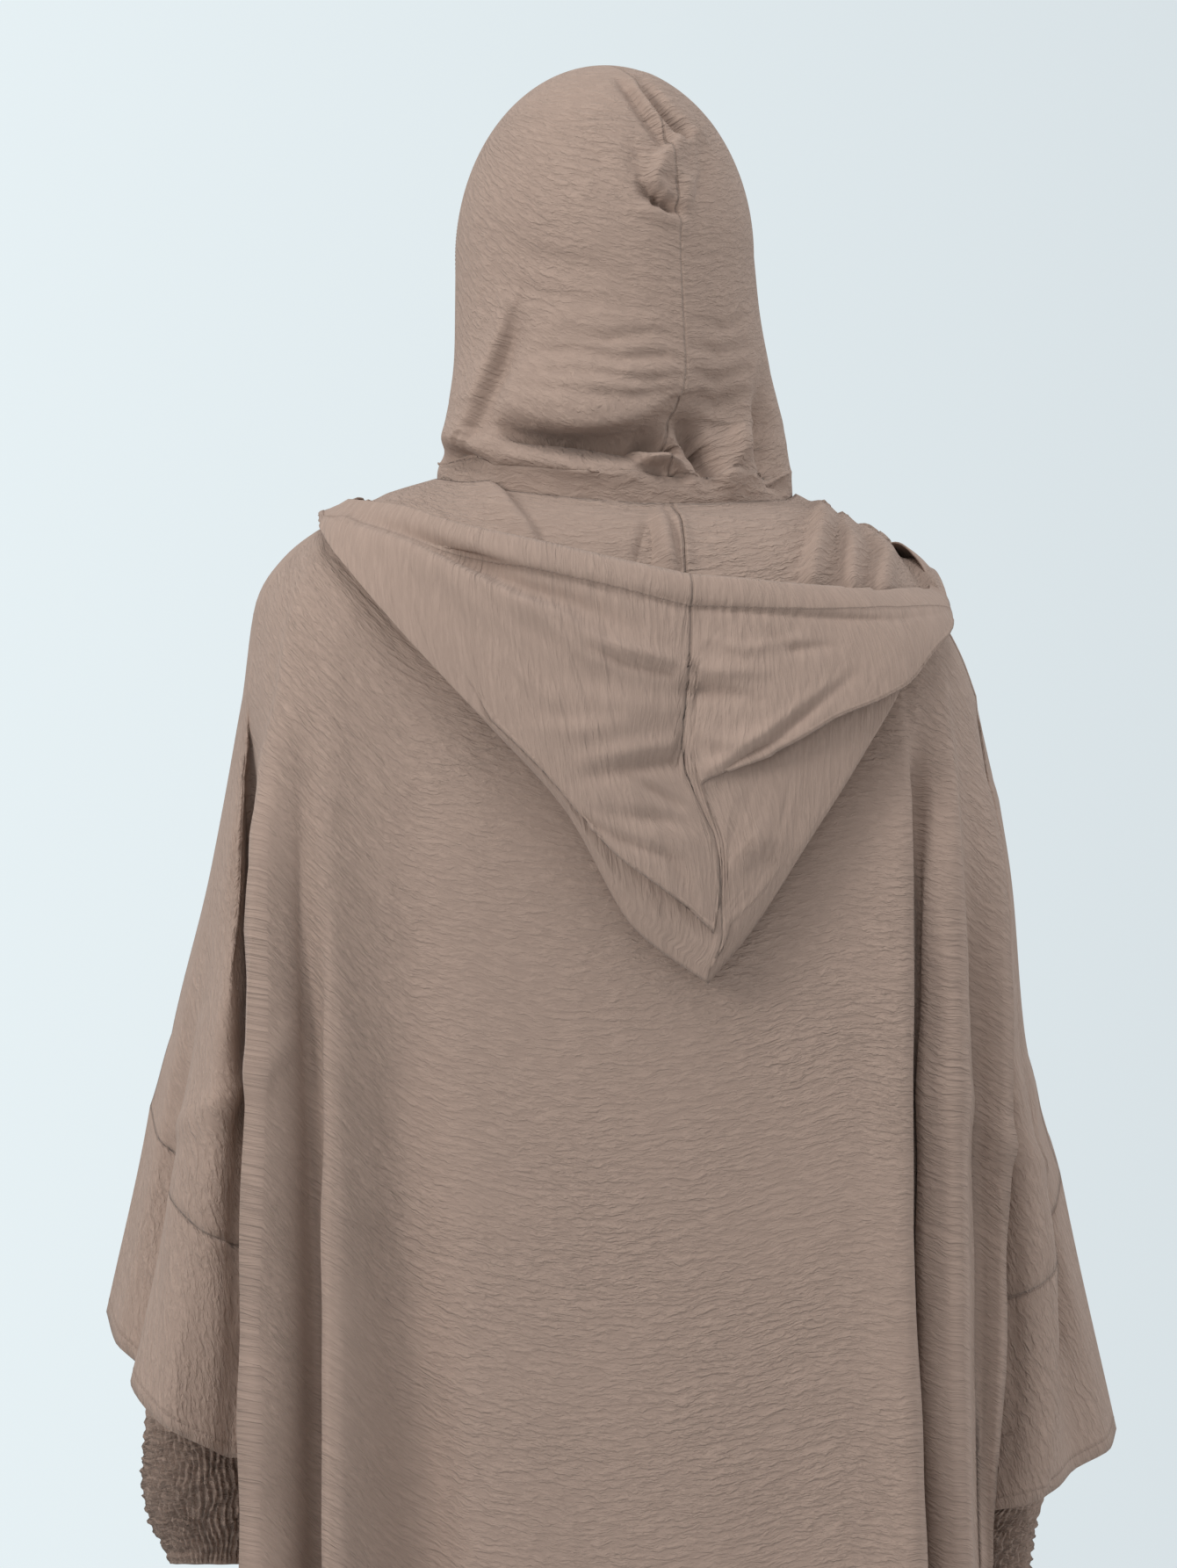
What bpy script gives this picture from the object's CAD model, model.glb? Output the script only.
"""Looks of the hooded abaya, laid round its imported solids.

The garment keeps the hollow shape in which it is worn. Metres, +Z up, +Y to its front and +X to its
right side as worn. The origin is the middle of the neck. Tables are in millimetres.

Each sub-assembly is a class. The cloth is laid out as whole forms, which are creased, cut along their
seams into the pieces that a maker sews, and given the cloth's thickness.
"""

import logging
from dataclasses import dataclass, field
from enum import Enum
from heapq import heappop, heappush
from math import cos, pi, radians, sin
from typing import Callable, Sequence

import bmesh
import bpy
import numpy as np
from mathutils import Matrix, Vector
from mathutils.bvhtree import BVHTree


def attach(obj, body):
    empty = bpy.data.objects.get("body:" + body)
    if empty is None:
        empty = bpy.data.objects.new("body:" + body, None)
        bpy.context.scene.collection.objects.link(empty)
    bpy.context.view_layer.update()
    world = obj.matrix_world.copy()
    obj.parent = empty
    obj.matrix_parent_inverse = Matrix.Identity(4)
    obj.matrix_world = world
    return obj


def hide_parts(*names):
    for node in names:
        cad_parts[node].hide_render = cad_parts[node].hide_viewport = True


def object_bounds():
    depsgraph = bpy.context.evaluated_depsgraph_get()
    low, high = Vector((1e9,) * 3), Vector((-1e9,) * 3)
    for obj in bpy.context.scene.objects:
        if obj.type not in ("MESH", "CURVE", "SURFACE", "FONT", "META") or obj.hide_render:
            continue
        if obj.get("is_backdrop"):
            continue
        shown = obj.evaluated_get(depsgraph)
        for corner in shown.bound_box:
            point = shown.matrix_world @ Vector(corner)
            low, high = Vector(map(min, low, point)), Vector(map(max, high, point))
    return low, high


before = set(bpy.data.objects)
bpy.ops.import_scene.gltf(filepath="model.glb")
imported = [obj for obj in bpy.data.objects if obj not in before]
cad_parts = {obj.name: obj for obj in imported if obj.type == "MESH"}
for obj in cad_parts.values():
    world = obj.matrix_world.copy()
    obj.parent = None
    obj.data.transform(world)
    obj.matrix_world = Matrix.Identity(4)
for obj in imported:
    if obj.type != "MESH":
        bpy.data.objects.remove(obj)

LOG = logging.getLogger("abaya")
MM = 0.001
FAR_AWAY = 1e9
LEAST_LENGTH = 0.01

Grid = np.ndarray
Colour = tuple[float, float, float]
Fade = tuple[float, float, float, float]


class Side(Enum):
    """A side of the garment as the photograph shows it, from behind."""

    LEFT = -1
    RIGHT = 1


class Facing(Enum):
    """Which way the cloth that a crease runs on faces. A lining shows its inner side at the back."""

    BACK = -1
    FRONT = 1
    LINING = 0


class Held(Enum):
    HUNG = "hung"
    GATHERED = "gathered"
    DRAPED = "draped"


class Slot(Enum):
    """The record's material slots."""

    CREPE = "crepe"
    SMOCKED = "smocked_crepe"


class SoftTable:
    """Smooth lines through a table's values that never overshoot them."""

    def __init__(self, stations: Sequence[float], values: Sequence) -> None:
        """Work out the lines' slopes.

        Args:
            stations: Where the values stand, in rising order.
            values: One value or one row of values for each station.
        """
        self.stations = np.asarray(stations, float)
        self.values = np.asarray(values, float).reshape(len(self.stations), -1)
        rises = np.diff(self.values, axis=0) / np.diff(self.stations)[:, None]
        before, after = rises[:-1], rises[1:]
        total = np.where(before + after == 0.0, 1.0, before + after)
        self.slopes = np.zeros_like(self.values)
        self.slopes[0], self.slopes[-1] = rises[0], rises[-1]
        self.slopes[1:-1] = np.where(before * after > 0.0, 2.0 * before * after / total, 0.0)

    def at(self, where: Grid) -> Grid:
        """Values at places along the stations.

        Args:
            where: The places.

        Returns:
            One row of values for each place.
        """
        where = np.clip(np.atleast_1d(where), self.stations[0], self.stations[-1])
        last = len(self.stations) - 2
        k = np.clip(np.searchsorted(self.stations, where, side="right") - 1, 0, last)
        step = (self.stations[k + 1] - self.stations[k])[:, None]
        t = (where - self.stations[k])[:, None] / step
        start = (1 + 2 * t) * (1 - t) ** 2 * self.values[k] + t * (1 - t) ** 2 * step * self.slopes[k]
        end = t * t * (3 - 2 * t) * self.values[k + 1] - t * t * (1 - t) * step * self.slopes[k + 1]
        return start + end


def way_along(points: Grid, least: float = 0.0) -> Grid:
    """How far each point is along the straight lines from the first one.

    Args:
        points: The points, one a row.
        least: The least length that a line counts for.

    Returns:
        One distance a point.
    """
    lengths = np.linalg.norm(np.diff(points, axis=0), axis=1)
    return np.concatenate([[0.0], np.cumsum(np.maximum(lengths, least))])


def chord_line(points: Grid, places: Grid) -> Grid:
    """Points on a smooth curve through given points, spaced by their distances.

    Args:
        points: The given points, one a row.
        places: Where on the curve, counted in given points.

    Returns:
        One point for each place.
    """
    chords = way_along(points, LEAST_LENGTH)
    whole = np.minimum(places.astype(int), len(points) - 2)
    where = chords[whole] + (places - whole) * (chords[whole + 1] - chords[whole])
    return SoftTable(chords, points).at(where)


def even_places(points: Grid, count: int) -> Grid:
    """Places, counted in given points, that part a curve into about equal lengths.

    Args:
        points: The given points.
        count: How many lengths.

    Returns:
        count + 1 places.
    """
    chords = way_along(points)
    return np.interp(np.linspace(0.0, chords[-1], count + 1), chords, np.arange(len(points)))


def soft_noise(points: Grid, period: float, seed: float) -> Grid:
    """A smooth uneven value from -1 to 1 at each point.

    The factors below have no common measure, so that the pattern doesn't repeat in sight.

    Args:
        points: The points, one a row.
        period: Rough distance between its high spots.
        seed: Chooses the pattern.

    Returns:
        One value a point.
    """
    turn = 2 * pi / period
    x, y, z = points[:, 0] * turn, points[:, 1] * turn, points[:, 2] * turn
    first = np.sin(x * 0.91 + 1.7 * np.sin(z * 0.53 + seed) + seed * 2.1)
    second = np.sin(z * 0.83 + 1.3 * np.sin(y * 0.71 + x * 0.37 + seed * 1.7) + seed)
    third = np.sin((x + z) * 0.59 - y * 0.77 + seed * 3.3)
    return (first + second + third) / 3.0


UNEVEN_PERIOD = 90.0
UNEVEN_STEP = 0.1
FACING_MIDDLE = 0.5
FACING_SLOPE = 1.6


@dataclass(frozen=True)
class Crease:
    """A soft trough or ridge on the cloth.

    path holds an x and a z in view and the height there, below zero for a trough. Its half widths are
    those on the left and the right hand of one who goes along it on the garment's back.
    """

    path: tuple[tuple[float, float, float], ...]
    left_hand: float
    right_hand: float
    facing: Facing = Facing.BACK
    uneven: float = 0.2

    def push(self, points: Grid, normals: Grid) -> Grid:
        """How far each point of the cloth moves along its normal.

        Args:
            points: Points of the cloth in millimetres.
            normals: Their unit normals.

        Returns:
            One distance a point.
        """
        track = np.asarray(self.path)
        flat = points[:, (0, 2)]
        best = np.full(len(flat), FAR_AWAY)
        signed = np.zeros(len(flat))
        height = np.zeros(len(flat))
        for start, end in zip(track, track[1:]):
            run = end[:2] - start[:2]
            length = max(np.linalg.norm(run), LEAST_LENGTH)
            share = np.clip(((flat - start[:2]) @ run) / length ** 2, 0.0, 1.0)
            gap = flat - start[:2] - share[:, None] * run
            far = np.linalg.norm(gap, axis=1)
            near = far < best
            turn = run[0] * gap[:, 1] - run[1] * gap[:, 0]
            best = np.where(near, far, best)
            signed = np.where(near, np.sign(turn) * far, signed)
            height = np.where(near, start[2] + share * (end[2] - start[2]), height)
        width = np.where(signed > 0, self.left_hand, self.right_hand)
        swell = height * np.exp(-(best / width) ** 2)
        seed = self.left_hand + track[0][0] * UNEVEN_STEP
        swell *= 1.0 + self.uneven * soft_noise(points, UNEVEN_PERIOD, seed)
        lining = self.facing is Facing.LINING
        sense = Facing.FRONT.value if lining else self.facing.value
        share = np.clip(FACING_MIDDLE + FACING_SLOPE * sense * normals[:, 1], 0.0, 1.0)
        return -swell * share if lining else swell * share


LEAN_FROM = 120.0
LEAN_SOFT = 45.0
BACK_DEPTH = 30.0
ON_EDGE = 0.05
WALK_EXCESS = 1.6
WALK_SLACK = 8.0
FAR_FROM_EDGE = 60.0
NECK_REACH = (120.0, 106.0, 90.0)
NECK_TOP = 60.0
LEAST_SQUARE = 1e-6


class ClothForm:
    """One or more sheets of cloth laid out as grids, creased as a whole and cut into pieces."""

    def __init__(self, plain_join: int = -1) -> None:
        """Start empty, with a piece number on each face and a flat position on each corner.

        Args:
            plain_join: The number of a piece whose seams to the others don't show.
        """
        self.plain_join = plain_join
        self.mesh = bmesh.new()
        self.piece = self.mesh.faces.layers.int.new("piece")
        self.cut = self.mesh.loops.layers.uv.new("cut")

    def lay(self, places: Grid, piece_of: Callable[[int, int], int], origin: tuple[float, float],
            grain: float = 0.0, turned: int | None = None, lean: float = 0.0) -> None:
        """Lay one grid of cloth.

        Args:
            places: Points in millimetres, by row from the top and by column from the left.
            piece_of: The piece that a face belongs to, by its row and column.
            origin: Flat position of the grid's middle column and top row, in millimetres.
            grain: Turn of the cloth's grain in degrees.
            turned: The row from which the grain is turned a quarter, if there is one.
            lean: How steeply the grain runs down to the right near both sides.
        """
        rows, columns = places.shape[0] - 1, places.shape[1] - 1
        made = bmesh.ops.create_grid(self.mesh, x_segments=columns, y_segments=rows, size=0.5)
        spots = {}
        for vert in made["verts"]:
            spots[vert] = (rows - round((vert.co.y + 0.5) * rows), round((vert.co.x + 0.5) * columns))
        widths = np.linalg.norm(np.diff(places, axis=1), axis=2)
        across = np.cumsum(np.pad(widths, ((0, 0), (1, 0))), axis=1)
        across -= across[:, [columns // 2]]
        heights = np.linalg.norm(np.diff(places, axis=0), axis=2)
        down = np.cumsum(np.pad(heights, ((1, 0), (0, 0))), axis=0)
        first_turned = rows + 1 if turned is None else turned
        spread = np.stack([across * cos(radians(grain)) + down * sin(radians(grain)),
                           across * sin(radians(grain)) - down * cos(radians(grain))], axis=2)
        beyond = np.maximum(np.abs(across) - LEAN_FROM, 0.0)
        spread[:, :, 1] += lean * np.sign(across) * beyond ** 2 / (beyond + LEAN_SOFT)
        spread = (spread + np.asarray(origin)) * MM
        level = np.broadcast_to((across[-1] + across[min(first_turned, rows)]) / 2, across.shape)
        quarter = np.stack([-down, level], axis=2) * MM
        for face in {face for vert in spots for face in vert.link_faces}:
            row = min(spots[vert][0] for vert in face.verts)
            column = min(spots[vert][1] for vert in face.verts)
            face[self.piece] = piece_of(row, column)
            face.material_index = int(row >= first_turned)
            for loop in face.loops:
                loop[self.cut].uv = (quarter if row >= first_turned else spread)[spots[loop.vert]]
        for vert, spot in spots.items():
            vert.co = Vector(places[spot]) * MM

    def join(self, gap: float = 0.05) -> None:
        """Join the grids where their edges meet.

        Args:
            gap: Widest gap that is closed, in millimetres.
        """
        bmesh.ops.remove_doubles(self.mesh, verts=self.mesh.verts[:], dist=gap * MM)
        self.mesh.normal_update()

    def points(self) -> Grid:
        """The form's points in millimetres."""
        return np.array([vert.co[:] for vert in self.mesh.verts]) / MM

    def normals(self) -> Grid:
        """The form's unit normals."""
        self.mesh.normal_update()
        return np.array([vert.normal[:] for vert in self.mesh.verts])

    def move(self, points: Grid) -> None:
        """Move the form's points.

        Args:
            points: Their new places in millimetres.
        """
        for vert, point in zip(self.mesh.verts, points):
            vert.co = Vector(point) * MM
        self.mesh.normal_update()

    def crease(self, creases: Sequence[Crease]) -> None:
        """Press creases into the form along its normals.

        Args:
            creases: The creases.
        """
        points, normals = self.points(), self.normals()
        push = sum(crease.push(points, normals) for crease in creases)
        self.move(points + normals * push[:, None])

    def sag(self, middle: tuple[float, float], reach: tuple[float, float], drop: float) -> None:
        """Let the cloth on the back hang lower round one place.

        Args:
            middle: The place's x and z.
            reach: How far to the side and up or down it reaches.
            drop: How much lower it hangs there.
        """
        points = self.points()
        side = ((points[:, 0] - middle[0]) / reach[0]) ** 2
        level = ((points[:, 2] - middle[1]) / reach[1]) ** 2
        back = np.clip(-points[:, 1] / BACK_DEPTH, 0.0, 1.0)
        points[:, 2] -= drop * back * np.exp(-side - level)
        self.move(points)

    def tree(self) -> BVHTree:
        """The form's surface, to rest other cloth on."""
        return BVHTree.FromBMesh(self.mesh)

    def edge_runs(self, number: int) -> tuple[Grid, Grid]:
        """The edges where a piece is sewn to another, and those that are open.

        Args:
            number: The piece's number.

        Returns:
            Two arrays of edges, each a start and an end in millimetres.
        """
        sewn, opened = [], []
        for edge in self.mesh.edges:
            tags = [face[self.piece] for face in edge.link_faces]
            if number not in tags:
                continue
            ends = [vert.co / MM for vert in edge.verts]
            if len(tags) == 1 and not by_neck(ends[0]):
                opened.append(ends)
            elif len(tags) == 1 or (tags[0] != tags[-1] and self.plain_join not in tags):
                sewn.append(ends)
        return np.array(sewn).reshape(-1, 2, 3), np.array(opened).reshape(-1, 2, 3)

    def cut_out(self, number: int) -> bmesh.types.BMesh:
        """Cut one piece out of the form.

        Args:
            number: The piece's number.

        Returns:
            The piece, with its distances to its seams and its open edges kept on its points.
        """
        sewn, opened = self.edge_runs(number)
        part = self.mesh.copy()
        tag = part.faces.layers.int["piece"]
        rest = [face for face in part.faces if face[tag] != number]
        bmesh.ops.delete(part, geom=rest, context="FACES")
        spots = np.array([vert.co[:] for vert in part.verts]) / MM
        for name, runs in (("seam", sewn), ("edge", opened)):
            layer = part.verts.layers.float.new(name)
            values = nearest_run(spots, runs)
            walked = walk_from(part, np.flatnonzero(values < ON_EDGE))
            for vert, value, steps in zip(part.verts, values, walked):
                vert[layer] = value if steps < value * WALK_EXCESS + WALK_SLACK else FAR_FROM_EDGE
        return part


def by_neck(point: Sequence[float]) -> bool:
    """Whether a point lies by the neck seam, where cloth is sewn and not hemmed."""
    depth = NECK_REACH[1] if point[1] < 0 else NECK_REACH[2]
    return (point[0] / NECK_REACH[0]) ** 2 + (point[1] / depth) ** 2 < 1.0 and abs(point[2]) < NECK_TOP


def walk_from(mesh: bmesh.types.BMesh, starts: Grid) -> Grid:
    """How far each point is from some points when one goes along the mesh's edges, in millimetres.

    Args:
        mesh: The mesh.
        starts: Numbers of the points to go from.

    Returns:
        One distance a point, or FAR_AWAY beyond twice FAR_FROM_EDGE.
    """
    mesh.verts.ensure_lookup_table()
    mesh.verts.index_update()
    walked = np.full(len(mesh.verts), FAR_AWAY)
    heap = [(0.0, int(start)) for start in starts]
    while heap:
        way, number = heappop(heap)
        if way >= walked[number] or way > 2 * FAR_FROM_EDGE:
            continue
        walked[number] = way
        vert = mesh.verts[number]
        for edge in vert.link_edges:
            heappush(heap, (way + edge.calc_length() / MM, edge.other_vert(vert).index))
    return walked


def nearest_run(points: Grid, runs: Grid) -> Grid:
    """Distance from points to the nearest of some short edges, in millimetres.

    Args:
        points: The points.
        runs: The edges, each a start and an end.

    Returns:
        One distance a point, at most FAR_FROM_EDGE.
    """
    best = np.full(len(points), FAR_FROM_EDGE)
    if len(runs) == 0:
        return best
    for start, end in runs:
        near = np.flatnonzero(np.max(np.abs(points - (start + end) / 2), axis=1) < FAR_FROM_EDGE)
        run = end - start
        gap = points[near] - start
        share = np.clip((gap @ run) / max(run @ run, LEAST_SQUARE), 0.0, 1.0)
        best[near] = np.minimum(best[near], np.linalg.norm(gap - share[:, None] * run, axis=1))
    return best


CORNERS = ((-1, -1), (1, -1), (1, 1), (-1, 1))


@dataclass(frozen=True)
class Stitching:
    """A row of small stitches along an open edge. A stitch is a low block that narrows to its top."""

    inset: float = 7.0
    pitch: float = 3.3
    length: float = 2.1
    width: float = 0.5
    height: float = 0.32
    top_length: float = 0.6
    top_width: float = 0.4
    reach: float = 12.0

    def row(self, name: str, part: bmesh.types.BMesh, material: bpy.types.Material) -> None:
        """Sew the row onto a piece.

        Args:
            name: The row's name.
            part: The piece, with its distances to its open edges.
            material: The thread's finish.
        """
        layer = part.verts.layers.float["edge"]
        mesh = bmesh.new()
        for face in part.faces:
            ends = []
            for loop in face.loops:
                first, second = loop.vert, loop.link_loop_next.vert
                low, high = first[layer] - self.inset, second[layer] - self.inset
                if low * high < 0 and max(abs(low), abs(high)) < self.reach:
                    ends.append(first.co.lerp(second.co, low / (low - high)))
            if len(ends) == 2:
                self.sew(mesh, ends[0], ends[1], face.normal)
        if len(mesh.faces):
            finish_piece(name, mesh, material, wall=0.0)

    def sew(self, mesh: bmesh.types.BMesh, start: Vector, end: Vector, normal: Vector) -> None:
        """Sew the stitches that lie on one face.

        Args:
            mesh: The mesh that takes them.
            start: Where the row enters the face.
            end: Where it leaves the face.
            normal: The face's normal.
        """
        run = end - start
        number = round(run.length / (self.pitch * MM))
        if number == 0:
            return
        along = run.normalized() * self.length * MM / 2
        side = normal.cross(along).normalized() * self.width * MM / 2
        up = normal * self.height * MM
        for i in range(number):
            middle = start + run * (i + 0.5) / number
            low = [mesh.verts.new(middle + along * a + side * b) for a, b in CORNERS]
            top = [mesh.verts.new(middle + along * a * self.top_length + side * b * self.top_width + up)
                   for a, b in CORNERS]
            mesh.faces.new(top)
            for corner in range(len(CORNERS)):
                after = (corner + 1) % len(CORNERS)
                mesh.faces.new((low[corner], low[after], top[after], top[corner]))


CLOTH_WALL = 1.1


@dataclass(frozen=True)
class Cut:
    """The size that a piece of cloth was cut to, in metres, and how the cloth is held."""

    width: float
    length: float
    area: float
    held: Held
    rests_on: tuple[str, ...] = ()

    def declare(self, thing: bpy.types.Object) -> None:
        """Say that an object is a sheet of this cut."""


def finish_piece(name: str, mesh: bmesh.types.BMesh, material: bpy.types.Material,
                 nodes: Sequence[str] = (), wall: float = CLOTH_WALL) -> bpy.types.Object:
    """Make an object of a piece, give the cloth its wall and put it on the frame.

    Args:
        name: The piece's name.
        mesh: Its mesh, which is used up.
        material: Its finish.
        nodes: The solids that it stands for.
        wall: The cloth's thickness in millimetres, or 0 for a solid piece.

    Returns:
        The object.
    """
    data = bpy.data.meshes.new(name)
    mesh.to_mesh(data)
    mesh.free()
    data.shade_smooth()
    data.materials.append(material)
    thing = bpy.data.objects.new(name, data)
    bpy.context.scene.collection.objects.link(thing)
    if wall:
        shell = thing.modifiers.new("wall", "SOLIDIFY")
        shell.thickness = wall * MM
        shell.offset = -1.0
        shell.use_even_offset = False
        shell.use_rim = True
    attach(thing, "root")
    if nodes:
        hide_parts(*nodes)
    LOG.info("%s: %d faces", name, len(data.polygons))
    return thing


@dataclass(frozen=True)
class ShoulderRow:
    """One row of the shoulders, from the neck seam down to the cap of the shoulder."""

    left: tuple[float, float]
    right: tuple[float, float]
    back: tuple[float, float]
    front: tuple[float, float]


@dataclass(frozen=True)
class ClothLine:
    """A line down the cloth: its x and y at every level."""

    name: str
    spots: tuple[tuple[float, float], ...]


@dataclass(frozen=True)
class Slant:
    """The slanting plane of a sleeve's seam or hem: its place on the overarm and its slopes."""

    x: float
    z: float
    inward: float
    back: float

    def height(self, spots: Grid) -> Grid:
        """Height of the plane at places.

        Args:
            spots: The places, an x and a y each.

        Returns:
            One height a place.
        """
        return self.z + self.inward * (spots[:, 0] - self.x) + self.back * spots[:, 1]


@dataclass(frozen=True)
class Arm:
    """One batwing: its lines from the overarm over the back to the underarm and on to the front."""

    side: Side
    lines: tuple[ClothLine, ...]
    seam: Slant
    hem: Slant
    underarm: int = 6


SHOULDER_ROWS = (
    ShoulderRow((-105, 24), (105, 18), (-92, 20), (78, -34)),
    ShoulderRow((-140, 14), (140, 0), (-112, 2), (94, -46)),
    ShoulderRow((-172, 1), (172, -26), (-130, -20), (106, -60)),
    ShoulderRow((-197, -18), (192, -52), (-144, -46), (114, -74)),
    ShoulderRow((-213, -44), (206, -78), (-152, -73), (120, -88)),
    ShoulderRow((-221, -100), (214, -100), (-158, -100), (124, -100)),
)
BACK_LINES = (
    ClothLine("left side", (
        (-217, -70), (-214.5, -52), (-211, 0), (-187, 0), (-185, 0), (-232, 0), (-272, 0))),
    ClothLine("left flank", (
        (-207, -104), (-211, -112), (-211, -100), (-203, -105), (-201, -105), (-243, -95), (-285, -95))),
    ClothLine("ridge 1", (
        (-193, -126), (-208.5, -150), (-212, -156), (-217, -160), (-217, -160), (-243, -168), (-278, -176))),
    ClothLine("hollow 1", (
        (-180, -137), (-187, -147), (-184, -145), (-178, -143), (-176, -140), (-196, -148), (-228, -152))),
    ClothLine("ridge 2", (
        (-165, -146), (-168, -163), (-167, -167), (-167, -170), (-167, -172), (-186, -183), (-214, -194))),
    ClothLine("hollow 2", (
        (-128, -152), (-140, -160), (-135, -158), (-128, -155), (-122, -150), (-135, -152), (-152, -156))),
    ClothLine("left of middle", (
        (-83, -157), (-85, -170), (-84, -172), (-82, -174), (-82, -175), (-88, -189), (-95, -200))),
    ClothLine("middle", (
        (20, -158), (20, -173), (20, -175), (20, -177), (20, -179), (22, -194), (24, -206))),
    ClothLine("right of middle", (
        (104, -152), (104, -168), (104, -171), (104, -173), (104, -175), (112, -188), (122, -198))),
    ClothLine("ridge 3", (
        (167, -138), (173, -163), (173, -168), (174, -171), (177, -174), (192, -186), (215, -200))),
    ClothLine("hollow 3", (
        (180, -132), (181, -147), (180, -143), (181, -138), (184, -136), (203, -146), (229, -155))),
    ClothLine("ridge 4", (
        (192, -119), (200, -152), (201, -156), (203, -158), (206, -158), (226, -168), (255, -176))),
    ClothLine("hollow 4", (
        (200, -104), (209, -137), (209, -132), (210, -128), (212, -130), (233, -138), (263, -146))),
    ClothLine("ridge 5", (
        (210, -75), (229, -113), (232, -122), (231, -128), (224, -128), (243, -128), (284, -130))),
    ClothLine("right flank", (
        (213, -52), (226, -75), (222, -70), (205, -75), (180, -75), (238, -60), (284, -62))),
    ClothLine("right side", ((213.5, -38), (224, -38), (215, 0), (188, 0), (160, 0), (228, 0), (272, 0))),
)
FRONT_LINES = (
    ClothLine("right side", ((213.5, 38), (222, 36), (215, 0), (188, 0), (160, 0), (228, 0), (272, 0))),
    ClothLine("right flank", ((208, 62), (216, 72), (213, 66), (196, 66), (176, 64), (236, 62), (284, 64))),
    ClothLine("ridge 6", (
        (188, 88), (203, 108), (206, 112), (207, 114), (203, 116), (228, 126), (268, 138))),
    ClothLine("hollow 6", (
        (165, 100), (176, 104), (175, 102), (174, 100), (173, 99), (196, 106), (226, 112))),
    ClothLine("ridge 7", (
        (140, 110), (152, 128), (152, 132), (152, 135), (153, 138), (172, 152), (198, 166))),
    ClothLine("hollow 7", (
        (98, 118), (108, 122), (106, 122), (104, 122), (102, 122), (112, 134), (126, 144))),
    ClothLine("middle", ((10, 124), (8, 134), (6, 138), (4, 142), (4, 145), (4, 164), (4, 182))),
    ClothLine("hollow 8", (
        (-92, 119), (-100, 124), (-98, 124), (-97, 123), (-96, 123), (-108, 136), (-122, 146))),
    ClothLine("ridge 8", (
        (-142, 110), (-150, 127), (-151, 131), (-152, 134), (-152, 137), (-170, 151), (-196, 165))),
    ClothLine("hollow 9", (
        (-170, 98), (-180, 104), (-180, 101), (-179, 98), (-178, 97), (-198, 104), (-228, 110))),
    ClothLine("ridge 9", (
        (-196, 84), (-206, 106), (-210, 110), (-212, 112), (-212, 113), (-234, 124), (-270, 136))),
    ClothLine("left flank", (
        (-212, 60), (-212, 72), (-211, 66), (-202, 66), (-200, 64), (-240, 62), (-284, 64))),
    ClothLine("left side", ((-217, 40), (-214, 44), (-211, 0), (-187, 0), (-185, 0), (-232, 0), (-272, 0))),
)
LEFT_ARM = Arm(Side.LEFT, (
    ClothLine("overarm", ((-221, 0), (-241, 0), (-263, 0), (-276, 2), (-302, 4))),
    ClothLine("far fold", ((-220.5, -25), (-239, -38), (-259, -34), (-271, -30), (-296, -32))),
    ClothLine("fold line", ((-220, -42), (-234, -66), (-247, -58), (-255, -52), (-280, -50))),
    ClothLine("near fold", ((-219.5, -52), (-230, -80), (-243.5, -76), (-258, -76), (-287, -74))),
    ClothLine("near back", ((-219, -60), (-222, -88), (-230, -104), (-242, -108), (-262, -112))),
    ClothLine("inner back", ((-218, -66), (-217, -78), (-217, -80), (-217, -96), (-226, -106))),
    ClothLine("underarm", ((-217, -70), (-214.5, -52), (-211, 0), (-207, -15), (-203, -20))),
    ClothLine("inner front", ((-217.5, 35), (-217, 54), (-217, 44), (-216, 44), (-216, 46))),
    ClothLine("front", ((-219, 25), (-228, 58), (-238, 58), (-246, 62), (-264, 66))),
    ClothLine("front fold", ((-220.5, 12), (-238, 30), (-256, 34), (-268, 38), (-292, 40))),
), Slant(-276, -344, -0.54, 0.52), Slant(-302, -467, -0.50, 0.43))
RIGHT_ARM = Arm(Side.RIGHT, (
    ClothLine("overarm", ((214, 0), (235.5, 0), (243.5, 0), (265, 2), (298, 4))),
    ClothLine("far fold", ((213.9, -10), (235, -30), (242, -34), (262, -32), (294, -32))),
    ClothLine("fold line", ((213.8, -18), (233, -48), (239, -52), (250, -52), (272, -58))),
    ClothLine("near fold", ((213.7, -26), (231.5, -58), (239, -70), (253, -74), (262, -86))),
    ClothLine("near back", ((213.6, -32), (229, -64), (234, -90), (240, -100), (240, -106))),
    ClothLine("inner back", ((213.55, -36), (226.5, -58), (223, -76), (218, -92), (214, -98))),
    ClothLine("underarm", ((213.5, -38), (224, -38), (215, 0), (207, -15), (196, -20))),
    ClothLine("inner front", ((213.55, 34), (224, 48), (220, 46), (212, 46), (206, 46))),
    ClothLine("front", ((213.7, 20), (231, 40), (234, 58), (244, 62), (252, 66))),
    ClothLine("front fold", ((213.9, 10), (235, 22), (241, 34), (259, 38), (286, 40))),
), Slant(265, -387, 0.30, 0.60), Slant(298, -536, 0.20, 0.30))


UNDERARM_STATION, SEAM_STATION, HEM_STATION = 2, 3, 4


class BodyPiece(Enum):
    """The pieces that the body's cloth is cut into."""

    BACK = 0
    FRONT = 1
    SLEEVE_LEFT = 2
    SLEEVE_RIGHT = 3


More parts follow.
